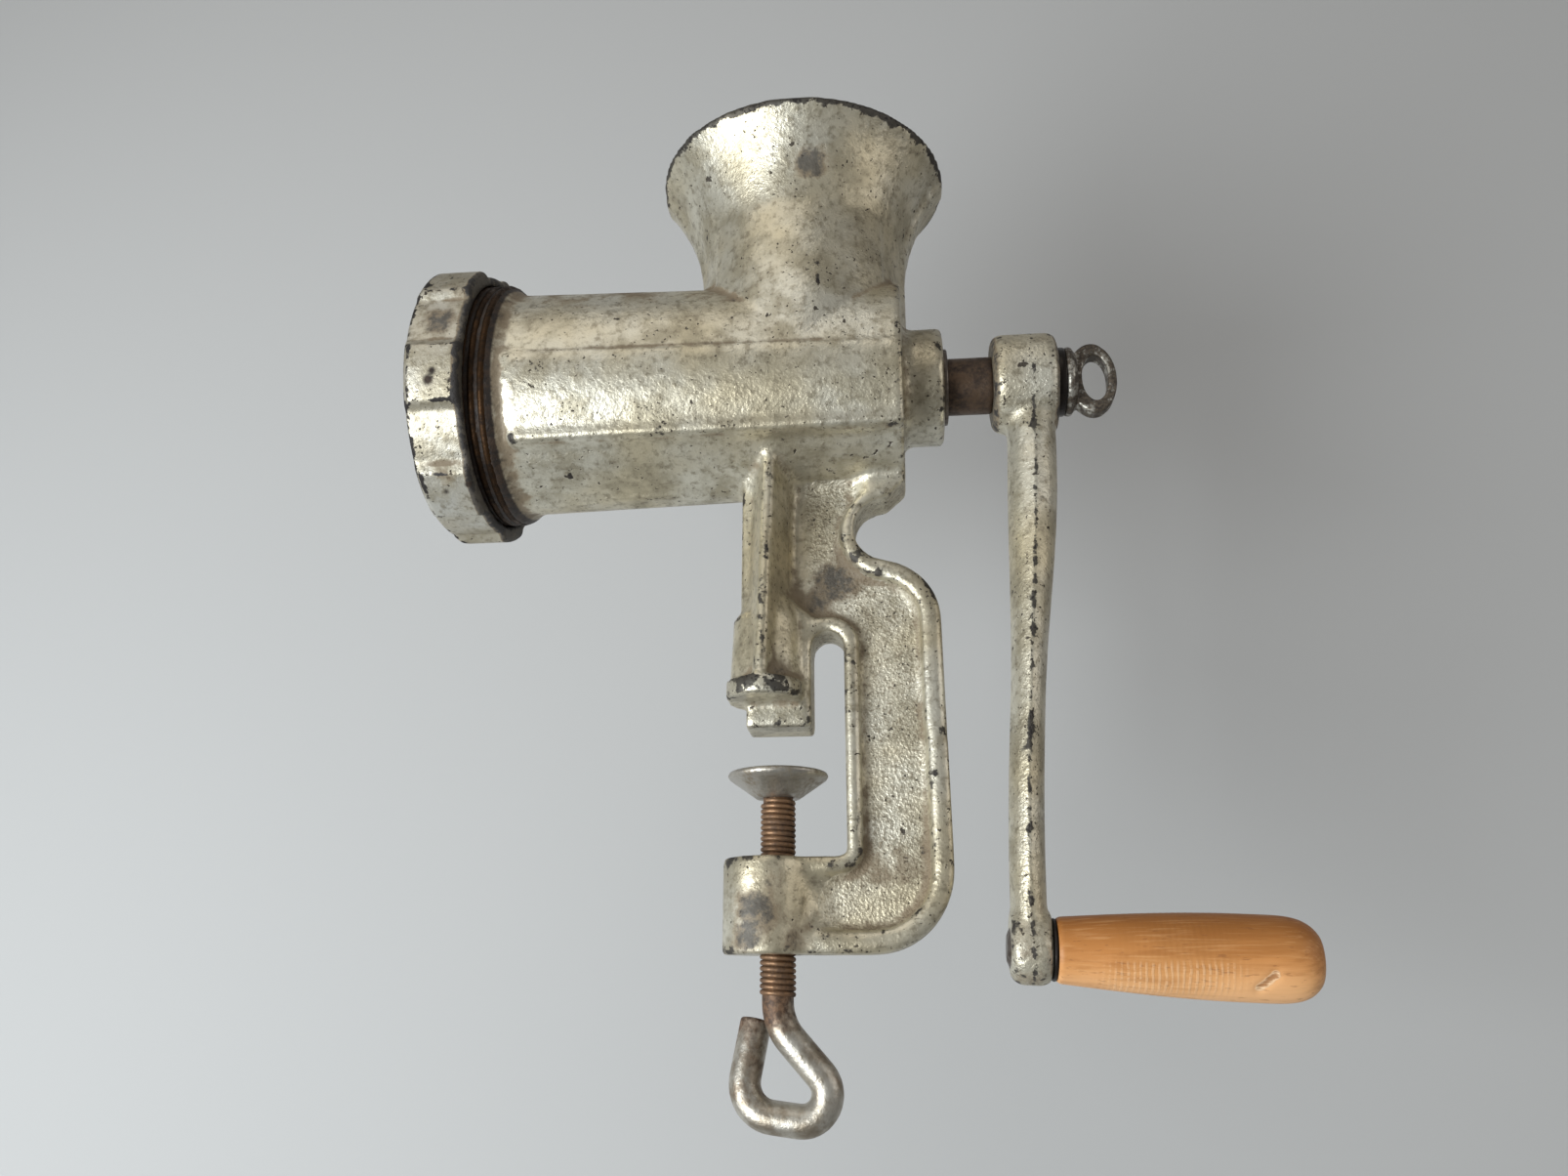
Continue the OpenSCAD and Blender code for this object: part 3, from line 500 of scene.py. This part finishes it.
# Bearing bush, thrust washer and plate key: turned steel pieces that are pressed into the casting.
# The bush's flange shows as a dark, oily collar round the shaft.


def oily_steel(name, base, grime):
    """Dark machined steel with a film of old oil."""
    material, shader, at = new_material(name, base)
    patch = at.speckle(140, 4, 0.6)
    fine = at.speckle(800, 3)
    dirt = (patch * 0.65 + fine * 0.35).between(0.42, 0.64)
    bump = at.node("ShaderNodeBump", {}, {"Strength": 0.3, "Distance": 0.0004, "Height": fine})
    finish_shader(shader, at, Base_Color=dirt.over(base, grime), Roughness=dirt * 0.25 + 0.32,
                  Metallic=0.9 - dirt * 0.35, Normal=bump)
    return material


def break_edges(piece, width, segments, angle):
    """Rounds the edges that turn by more than an angle."""
    broken = piece.modifiers.new("edges", "BEVEL")
    broken.width = width
    broken.segments = segments
    broken.limit_method = "ANGLE"
    broken.angle_limit = angle
    made_plain(piece).data.shade_smooth()


def machined_copy(node, name, bevel):
    """A CAD solid with its edges broken, as a turned or ground piece has."""
    piece = welded_copy(node, name)
    break_edges(piece, bevel, 2, radians(40))
    piece.data.set_sharp_from_angle(angle=radians(35))
    return piece


dark_oil = oily_steel("dark_oily_steel", rgb(0.16, 0.135, 0.115), rgb(0.05, 0.036, 0.026))
ground = oily_steel("ground_steel", rgb(0.56, 0.55, 0.52), rgb(0.24, 0.21, 0.17))
bush = machined_copy("bearing_bush", "bearing_collar", 0.4 * MM)
dress(bush, dark_oil, "frame", "dark_steel", "bearing_bush")
thrust = machined_copy("thrust_washer", "thrust_ring", 0.25 * MM)
dress(thrust, dark_oil, "frame", "dark_steel", "thrust_washer")
key = machined_copy("plate_key", "key_pin", 0.3 * MM)
dress(key, ground, "frame", "steel", "plate_key")

# Feed screw: cast worm that pushes the meat to the knife, in one piece with the shaft and the square
# that carries the crank. The tin has worn off, and the shaft is dark with rust and oil.
worm_iron = rusty_iron("worm_iron", rgb(0.13, 0.085, 0.055), rgb(0.035, 0.021, 0.014), 0.5)
worm = cast_copy("feed_screw", "feed_worm", 0.95 * MM, 3.5 * MM, 1.0 * MM, 30)
dress(worm, worm_iron, "crank", "worn_iron", "feed_screw")

# Knife, its squared stud and the hole plate: ground tool steel. The stud is pressed into the worm and
# drives the knife, which wipes the back of the plate.
stud = machined_copy("knife_stud", "knife_pin", 0.3 * MM)
dress(stud, ground, "crank", "steel", "knife_stud")
knife = machined_copy("knife", "cross_knife", 0.3 * MM)
dress(knife, ground, "crank", "steel", "knife")
plate_steel = oily_steel("plate_steel", rgb(0.60, 0.58, 0.54), rgb(0.33, 0.28, 0.21))
plate = machined_copy("perforated_plate", "hole_plate", 0.25 * MM)
dress(plate, plate_steel, "plate", "steel", "perforated_plate")

# Screw ring: tinned cast nut with seven hand pads, which holds the hole plate in the barrel's mouth.
# The hands have rubbed its pads black along the edges.
RING_REAR_X = -89.1 * MM
RING_SOOT = (((-96.5, -42, 117), 7.5, 1.25), ((-93, -38.5, 127), 6, 0.7), ((-97, -26, 73), 6, 0.6))
RING_RUST = (((-97.7, -41.2, 96.7), 1.9, 0.9), ((-96.6, -41.8, 99.2), 1.4, 0.9),
             ((-91.3, -41.1, 96.4), 1.0, 0.9), ((-90.4, -22.4, 72.1), 1.6, 0.9),
             ((-97.5, -20.6, 70.9), 1.3, 0.8))

ring = cast_copy("ring_nut", "screw_ring", 0.7 * MM, 2.6 * MM, 1.2 * MM, 70)
places = coordinates(ring.data)
rear_face = np.clip((places[:, 0] - RING_REAR_X + 2.4 * MM) / (1.2 * MM), 0, 1)
store(ring.data, "grime_and_shade", np.maximum(1.5 * rear_face, blots(places, *RING_SOOT)))
store(ring.data, "rusty", blots(places, *RING_RUST))
ring_tin = tinned_iron("ring_tin", rgb(0.47, 0.43, 0.34), rgb(0.55, 0.54, 0.49), 1.0, 1.0, 0.7, 0.42)
dress(ring, ring_tin, "ring", "tinned_iron", "ring_nut")

# Crank: tinned cast arm with a hub on the shaft's square and a boss for the grip's pin.
# A flash line of the mould runs down the middle of the arm, and the tin is chipped along it.
HUB_X = 76.5 * MM
ARM_SHIFT = 1.8 * MM
ARM_LEAN = 10.6 * MM
ARM_LEN = 168.5 * MM
FLASH_H = 0.5 * MM
FLASH_W = 1.0 * MM
FLASH_START = 0.13
FLASH_END = 0.93
FLASH_FADE = 0.04
CRANK_SOOT = (((66, -7, -60), 8, 0.75), ((67, -4, -66), 6, 0.9))

crank = cast_copy("crank_arm", "crank_of_the_grinder", 0.8 * MM, 7 * MM, 2.8 * MM, 110)
places = coordinates(crank.data)
down = np.clip((AXIS_H - places[:, 2]) / ARM_LEN, 0, 1)
middle = HUB_X + ARM_SHIFT - ARM_LEAN * down * down * (3 - 2 * down)
on_flash = np.exp(-((places[:, 0] - middle) / FLASH_W) ** 2)
raised = on_flash * np.clip((down - FLASH_START) / FLASH_FADE, 0, 1)
raised *= np.clip((FLASH_END - down) / FLASH_FADE, 0, 1)
places += directions(crank.data) * (FLASH_H * raised)[:, None]
move_to(crank.data, places)
rubbed = np.empty(len(places))
crank.data.attributes["edge"].data.foreach_get("value", rubbed)
crank.data.attributes["edge"].data.foreach_set("value", np.maximum(rubbed * 0.8, 1.15 * on_flash))
# Painted shade, partly grease: the hub's rim faces are darkened through the grime mask.
hub_rims = np.clip((np.abs(places[:, 0] - HUB_X) - 7.6 * MM) / (1.6 * MM), 0, 1) * (down < 0.1)
store(crank.data, "grime_and_shade", np.maximum(1.1 * hub_rims, blots(places, *CRANK_SOOT)))
store(crank.data, "pitted", np.full(len(places), 0.35))
crank_tin = tinned_iron("crank_tin", CREAM_TIN, GREY_TIN, 0.9, 0.9, 0.55, 0.33)
dress(crank, crank_tin, "crank", "tinned_iron", "crank_arm")

# Crank washer and thumb screw: the black steel washer lies against the hub, and a cast screw with an
# oval eye pulls the crank on to the shaft. Its tin is nearly gone: brown iron with bright worn spots.


def bare_iron(name):
    """Brown cast iron, with pale spots where some tin is left or the hands have polished it."""
    material, shader, at = new_material(name, rgb(0.16, 0.13, 0.10))
    patch = at.speckle(330, 4, 0.6)
    fine = at.speckle(1100, 3, 0.6)
    bright = (patch * 0.75 + fine * 0.35).between(0.55, 0.68)
    brown = fine.between(0.35, 0.65).over(rgb(0.115, 0.092, 0.068), rgb(0.042, 0.033, 0.026))
    iron = bright.over(brown, rgb(0.42, 0.40, 0.35))
    height = patch * 0.7 + fine * 0.3
    bump = at.node("ShaderNodeBump", {}, {"Strength": 0.5, "Distance": 0.0005, "Height": height})
    finish_shader(shader, at, Base_Color=iron, Roughness=0.5 - bright * 0.12, Metallic=bright * 0.3 + 0.5,
                  Normal=bump)
    return material


black_oil = oily_steel("black_oily_steel", rgb(0.035, 0.03, 0.026), rgb(0.012, 0.009, 0.008))
washer = machined_copy("crank_washer", "hub_washer", 0.4 * MM)
dress(washer, black_oil, "crank_washer", "dark_steel", "crank_washer")
thumb = cast_copy("thumb_screw", "thumb_screw_with_eye", 0.35 * MM, 2.0 * MM, 1.2 * MM, 60)
dress(thumb, bare_iron("thumb_iron"), "thumb_screw", "tinned_iron", "thumb_screw")

# Grip: turned beech on a riveted steel pin, with a washer against the crank's boss. It droops a little
# from the crank, the lathe left chatter rings on it, and oil has made it orange.
GRIP_AT = Vector((67.7 * MM, 0, -60 * MM))
GRIP_DROOP = radians(2.5)
GRIP_START = 74.3 * MM
GRIP_LEN = 66.5 * MM
GRIP_STEPS = 150
GRIP_SIDES = 72
BORE_R = 3.56 * MM
RECESS_R = 5.4 * MM
RECESS = 6.8 * MM
NICK_LOW = np.array((123.3, -8.2, -70.3)) * MM
NICK_TOP = np.array((127.2, -10.0, -66.8)) * MM
NICK_R = 1.25 * MM
NICK_DEEP = 0.7 * MM
CHATTER = 0.025 * MM
CHATTER_RINGS = 42
LIP = 0.5 * MM
BORE_LIP = 0.4 * MM


def grip_radius(t):
    """Slim at the crank, fullest in the outer third, and rounded off at the end."""
    swell_at = 0.72
    swell = sin(pi / 2 * min(1, t / swell_at))
    tail = max(0, (t - swell_at) / (1 - swell_at))
    return (8.5 + 2.6 * swell) * MM * (1 - 0.6 * tail ** 5) ** 0.5


def turned(name, profile, sides, place):
    """A lathe piece: a closed profile of places along X and radii, turned round X and laid in its place."""
    solid = bmesh.new()
    circle = [(cos(tau * i / sides), sin(tau * i / sides)) for i in range(sides)]
    rings = [(r, [solid.verts.new((x, r * c, r * s)) for c, s in circle]) for x, r in profile]
    for (near_r, near), (far_r, far) in zip(rings, rings[1:] + rings[:1]):
        for i in range(sides if near_r or far_r else 0):
            j = (i + 1) % sides
            solid.faces.new((near[i], near[j], far[j], far[i]))
    bmesh.ops.remove_doubles(solid, verts=solid.verts, dist=1e-7)
    bmesh.ops.recalc_face_normals(solid, faces=solid.faces)
    mesh = bpy.data.meshes.new(name)
    solid.to_mesh(mesh)
    solid.free()
    mesh.transform(place)
    mesh.shade_smooth()
    mesh.set_sharp_from_angle(angle=radians(50))
    return put(name, mesh)


def beech(name):
    """Oiled beech: orange wood with long grain, short flecks and chatter rings, with painted shade darkening
    the upper side and painted light brightening the lower side.
    """
    material, shader, at = new_material(name, rgb(0.62, 0.31, 0.13))
    height = at.node("ShaderNodeSeparateXYZ", {}, {0: at}, out="Z")
    grain = at.stretched((9, 150, 150)).speckle(3.2, 5, 0.6)
    fibre = at.stretched((40, 900, 900)).speckle(1.6, 3)
    fleck = at.stretched((110, 600, 600)).speckle(2.2, 2)
    broad = at.speckle(34, 3)
    # Painted light and shade: the upper side is darkened and the lower side brightened, as if lit from below;
    # the grain is weaker where the painted light falls.
    shade_on_top = (height + broad * 0.02).between(-0.060, -0.042)
    low = 1 - (height + broad * 0.012).between(-0.068, -0.056)
    wood = broad.between(0.3, 0.7).over(rgb(0.56, 0.235, 0.068), rgb(0.64, 0.31, 0.110))
    wood = (low * 0.8).over(wood, rgb(0.86, 0.49, 0.235))
    wood = (shade_on_top * 0.85).over(wood, rgb(0.28, 0.098, 0.016))
    wood = (grain.between(0.42, 0.66) * (1 - low * 0.6) * 0.55).over(wood, rgb(0.33, 0.122, 0.028))
    wood = (fibre.between(0.5, 0.75) * 0.35).over(wood, rgb(0.68, 0.37, 0.16))
    wood = (fleck.between(0.62, 0.70) * 0.5).over(wood, rgb(0.24, 0.09, 0.028))
    rings = at.node("ShaderNodeTexWave", {"bands_direction": "X", "wave_profile": "SIN"},
                    {"Vector": at, "Scale": 205, "Distortion": 2.2, "Detail": 2})
    along = at.node("ShaderNodeSeparateXYZ", {}, {0: at}, out="X")
    band = height.between(-0.0725, -0.069) * (1 - height.between(-0.0655, -0.0625))
    held = along.between(0.080, 0.092) * (1 - along.between(0.112, 0.124))
    chatter = rings.between(0.5, 0.85) * band * held * (fleck * 0.6 + broad * 0.6).between(0.48, 0.66)
    wood = (chatter * 0.32).over(wood, rgb(0.88, 0.60, 0.36))
    torn = at.node("ShaderNodeAttribute", {"attribute_name": "torn"}, {}, out="Fac")
    splinter = (torn + fibre * 0.5).between(0.55, 0.85)
    fresh = (torn * 0.6 + fibre).between(0.75, 1.05).over(rgb(0.88, 0.62, 0.38), rgb(0.36, 0.17, 0.07))
    wood = (splinter * 0.85).over(wood, fresh)
    rough = grain * 0.12 + fleck.between(0.6, 0.7) * 0.1 + splinter * 0.3 + 0.40
    relief = chatter * 0.6 + fibre * 0.3 + grain * 0.35 + splinter * fibre * 1.5
    bump = at.node("ShaderNodeBump", {}, {"Strength": 0.3, "Distance": 0.0005, "Height": relief})
    finish_shader(shader, at, Base_Color=wood, Roughness=rough, Normal=bump)
    shader.inputs["Specular IOR Level"].default_value = 0.3
    return material


grip_profile = []
for i in range(GRIP_STEPS + 1):
    t = i / GRIP_STEPS
    chatter = CHATTER * sin(tau * t * CHATTER_RINGS) * sin(pi * min(1, t / 0.9)) ** 2
    lip = LIP * (1 - min(1, t / 0.02)) ** 2
    grip_profile.append((GRIP_START + GRIP_LEN * t, grip_radius(t) - lip + chatter))
grip_end = GRIP_START + GRIP_LEN
grip_profile += [(grip_end, RECESS_R + LIP), (grip_end - LIP, RECESS_R), (grip_end - RECESS, RECESS_R),
                 (grip_end - RECESS, BORE_R), (GRIP_START + BORE_LIP, BORE_R),
                 (GRIP_START, BORE_R + BORE_LIP)]
droop = Matrix.Rotation(GRIP_DROOP, 4, "Y") @ Matrix.Translation((-GRIP_AT.x, 0, 0))
grip = turned("beech_grip", grip_profile, GRIP_SIDES, Matrix.Translation(GRIP_AT) @ droop)
places = coordinates(grip.data)
along = np.clip((places - NICK_LOW) @ (NICK_TOP - NICK_LOW) / ((NICK_TOP - NICK_LOW) ** 2).sum(), 0, 1)
from_nick = np.linalg.norm(places - NICK_LOW - along[:, None] * (NICK_TOP - NICK_LOW), axis=1)
torn = np.exp(-(from_nick / NICK_R) ** 2)
move_to(grip.data, places - directions(grip.data) * (NICK_DEEP * torn)[:, None])
store(grip.data, "torn", torn)
dress(grip, beech("oiled_beech"), "grip", "beech", "wooden_grip")
pin = machined_copy("grip_spindle", "grip_pin", 0.35 * MM)
dress(pin, dark_oil, "crank", "steel", "grip_spindle")
shim = machined_copy("grip_washer", "grip_shim", 0.2 * MM)
dress(shim, black_oil, "crank", "dark_steel", "grip_washer")

# Clamp screw: a steel rod with a rolled thread, bent cold into an eye that the hand turns. The thread
# is brown with rust, and worn tin is left on the eye.
CLAMP_CREST_R = 4.96 * MM
CLAMP_PITCH = 1.5 * MM
RIDGE = 0.72 * MM
ROD_R = 4.3 * MM
CORE_R = 4.2 * MM
THREAD_LOW = -72.3 * MM
THREAD_TOP = -19.26 * MM
ROD_START = THREAD_LOW + 2 * MM
EYE_STEPS = ((3.1, 14.6, -42), (11.3, 6.8, 138.4), (7.4, 8.4, 94), (14.4, 0, 0))
EYE_BACK = 7.2 * MM
BEND_STEPS = 12
TENON_R = 3.4 * MM
HEAD_R = 5.6 * MM
HEAD_LOW = -13.9 * MM
HEAD_TOP = -12.3 * MM
HEAD_BEVEL = 0.4 * MM


def eye_route():
    """Points of the bent rod's middle: straight runs, each followed by a bend of a radius through an angle.
    The rod's end lies behind its start, so that it passes the first run."""
    spot, heading, route = Vector((0, 0, ROD_START)), 0.0, [Vector((0, 0, ROD_START))]
    for run, radius, turn in EYE_STEPS:
        spot = spot + run * MM * Vector((sin(heading), 0, -cos(heading)))
        route.append(spot)
        side = 1 if turn >= 0 else -1
        centre = spot - side * radius * MM * Vector((cos(heading), 0, sin(heading)))
        for i in range(1, BEND_STEPS + 1 if turn else 1):
            angle = heading - radians(turn) * i / BEND_STEPS
            route.append(centre + side * radius * MM * Vector((cos(angle), 0, sin(angle))))
        spot, heading = route[-1], heading - radians(turn)
    reach = [0.0]
    for near, far in zip(route, route[1:]):
        reach.append(reach[-1] + (far - near).length)
    return [spot + Vector((0, EYE_BACK * (gone / reach[-1]) ** 2, 0)) for spot, gone in zip(route, reach)]


def rod_tree():
    """Node tree that sweeps a round rod along a chain of edges: radius, sides and finish."""
    tree, sizes = new_tree("bent rod", "Rod", Route="Geometry", Radius="Float", Sides="Int",
                           Material="Material")
    nodes, link = tree.nodes, tree.links.new
    curve = nodes.new("GeometryNodeMeshToCurve")
    link(sizes["Route"], curve.inputs[0])
    even = nodes.new("GeometryNodeResampleCurve")
    even.mode = "LENGTH"
    even.inputs["Length"].default_value = 0.9 * MM
    link(curve.outputs[0], even.inputs["Curve"])
    section = nodes.new("GeometryNodeCurvePrimitiveCircle")
    link(sizes["Sides"], section.inputs["Resolution"])
    link(sizes["Radius"], section.inputs["Radius"])
    return sweep_profile(tree, even.outputs[0], section.outputs[0], sizes["Material"])


def rod_finish(name):
    """Rod steel: worn tin on the eye, turning to brown rust towards the thread."""
    material, shader, at = new_material(name, rgb(0.36, 0.30, 0.24))
    height = at.node("ShaderNodeSeparateXYZ", {}, {0: at}, out="Z")
    patch = at.speckle(110, 5, 0.65)
    fine = at.speckle(700, 4, 0.6)
    climb = height.between(-0.090, -0.066)
    across = at.node("ShaderNodeSeparateXYZ", {}, {0: at}, out="X")
    tip = (1 - across.between(-0.009, 0.001)) * height.between(-0.101, -0.095)
    soil = patch * 0.8 + fine * 0.4 + climb * 0.42 + tip * 0.14
    rust = (soil - 0.25).between(0.44, 0.72)
    steel = patch.between(0.38, 0.62).over(rgb(0.50, 0.47, 0.41), rgb(0.29, 0.25, 0.195))
    steel = (soil.between(0.55, 0.85) * 0.6).over(steel, rgb(0.21, 0.165, 0.115))
    rusty = fine.between(0.35, 0.65).over(rgb(0.16, 0.088, 0.047), rgb(0.06, 0.034, 0.02))
    relief = fine * 0.6 + patch * 0.4
    bump = at.node("ShaderNodeBump", {}, {"Strength": 0.45, "Distance": 0.0006, "Height": relief})
    finish_shader(shader, at, Base_Color=rust.over(steel, rusty), Roughness=rust * 0.2 + 0.38,
                  Metallic=0.8 - rust * 0.5, Normal=bump)
    return material


rod_skin = rod_finish("rod_steel")
route = eye_route()
chain = bpy.data.meshes.new("eye_route")
chain.from_pydata(route, [(i, i + 1) for i in range(len(route) - 1)], [])
eye = grown("clamp_screw_eye", rod_tree(), {"Radius": ROD_R, "Sides": 28, "Material": rod_skin}, None, chain)
break_edges(eye, 0.8 * MM, 3, radians(50))
dress(eye, rod_skin, "clamp_screw", "thread_steel", "clamp_screw")

thread_rust = rusty_iron("thread_rust", rgb(0.25, 0.145, 0.08), rgb(0.085, 0.047, 0.027), 0.4)
thread_place = Matrix.Translation((0, 0, THREAD_LOW + CLAMP_PITCH / 2))
clamp_thread = grown("clamp_screw_thread", screw_thread, {
    "Crest radius": CLAMP_CREST_R, "Pitch": CLAMP_PITCH, "Ridge": RIDGE, "Material": thread_rust,
    "Length": THREAD_TOP - THREAD_LOW - CLAMP_PITCH}, thread_place)
dress(clamp_thread, thread_rust, "clamp_screw", "thread_steel")
core_low = ROD_START - ROD_R / 2
core_profile = [(core_low, 0), (core_low, CORE_R), (THREAD_TOP, CORE_R), (THREAD_TOP, TENON_R),
                (HEAD_LOW, TENON_R), (HEAD_LOW, HEAD_R), (HEAD_TOP - HEAD_BEVEL, HEAD_R),
                (HEAD_TOP, HEAD_R - HEAD_BEVEL), (HEAD_TOP, 0)]
clamp_core = turned("clamp_screw_core", core_profile, 48, Matrix.Rotation(-pi / 2, 4, "Y"))
dress(clamp_core, thread_rust, "clamp_screw", "thread_steel")

# Clamp pad: turned steel disc with a conical underside. It swivels on the screw's riveted end and
# presses against the underside of the table.
pad = machined_copy("clamp_pad", "pressure_pad", 0.5 * MM)
pad_steel = oily_steel("pad_steel", rgb(0.43, 0.405, 0.36), rgb(0.20, 0.165, 0.12))
dress(pad, pad_steel, "pad", "steel", "clamp_pad")

# Studio: a pale paper sweep behind and below the grinder, clear of the crank's circle, a soft window light
# from the lower left, weaker ones from above and from the right, and a camera at the photograph's angle.
bpy.context.scene.view_settings.view_transform = "Standard"
WALL_Y = 0.21
FLOOR_Z = -1.1
SWEEP_R = 0.2
HALF_W = 1.6
FLOOR_FRONT_Y = -1.4
WALL_TOP_Z = 1.5
CAMERA_AT = (0.0343, -0.3331, -0.0708)
CAMERA_TILT = radians(108.9)
CAMERA_TURN = radians(5.6)


def sweep_paper():
    """Floor, curve and wall of the backdrop, in one sheet that faces the camera."""
    rows = [(FLOOR_FRONT_Y, FLOOR_Z)]
    rows += [(WALL_Y - SWEEP_R + SWEEP_R * sin(a), FLOOR_Z + SWEEP_R - SWEEP_R * cos(a))
             for a in (i * pi / 32 for i in range(17))]
    rows += [(WALL_Y, WALL_TOP_Z)]
    points = [(x, y, z) for y, z in rows for x in (-HALF_W, HALF_W)]
    faces = [(2 * i, 2 * i + 1, 2 * i + 3, 2 * i + 2) for i in range(len(rows) - 1)]
    mesh = bpy.data.meshes.new("paper")
    mesh.from_pydata(points, [], faces)
    mesh.shade_smooth()
    return put("backdrop", mesh)


paper, paper_shader, paper_at = new_material("pale_paper", rgb(0.5, 0.5, 0.49))
paper_shader.inputs["Base Color"].default_value = rgb(0.46, 0.46, 0.455)
paper_shader.inputs["Roughness"].default_value = 0.9
behind = paper_at.node("ShaderNodeNewGeometry", {}, {}, out="Backfacing")
clear = paper_at.node("ShaderNodeBsdfTransparent", {}, {})
paper_mix = paper_at.node("ShaderNodeMixShader", {}, {0: behind, 2: clear})
paper.node_tree.links.new(paper_shader.outputs[0], paper_mix.socket.node.inputs[1])
paper.node_tree.links.new(paper_mix.socket, paper.node_tree.nodes["Material Output"].inputs["Surface"])
backdrop = sweep_paper()
backdrop.data.materials.append(paper)


def soft_light(name, place, aim, size, power, colour):
    """A round area lamp at a place, aimed at a point."""
    lamp = bpy.data.lights.new(name, "AREA")
    lamp.shape = "DISK"
    lamp.size = size
    lamp.energy = power
    lamp.color = colour
    light = bpy.data.objects.new(name, lamp)
    light.location = place
    light.rotation_euler = (Vector(aim) - Vector(place)).to_track_quat("-Z", "Y").to_euler()
    bpy.context.scene.collection.objects.link(light)


soft_light("window", (-0.62, -0.64, -0.30), (0, 0, 0.04), 0.7, 13.5, (0.91, 0.965, 1.0))
soft_light("ceiling", (-0.25, -0.6, 0.7), (0, 0, 0.06), 0.8, 1.6, (1.0, 0.96, 0.90))
soft_light("far_wall", (0.75, -0.35, 0.15), (0, 0, 0.06), 0.6, 1.0, (1.0, 0.97, 0.93))
world = bpy.data.worlds.new("room")
world.use_nodes = True
world.node_tree.nodes["Background"].inputs["Color"].default_value = rgb(0.23, 0.228, 0.225)
bpy.context.scene.world = world

lens = bpy.data.cameras.new("photo_camera")
lens.sensor_width = 36
lens.lens = 27.06
lens.clip_start = 0.01
camera = bpy.data.objects.new("photo_camera", lens)
camera.location = CAMERA_AT
camera.rotation_euler = (CAMERA_TILT, 0, CAMERA_TURN)
bpy.context.scene.collection.objects.link(camera)
bpy.context.scene.camera = camera
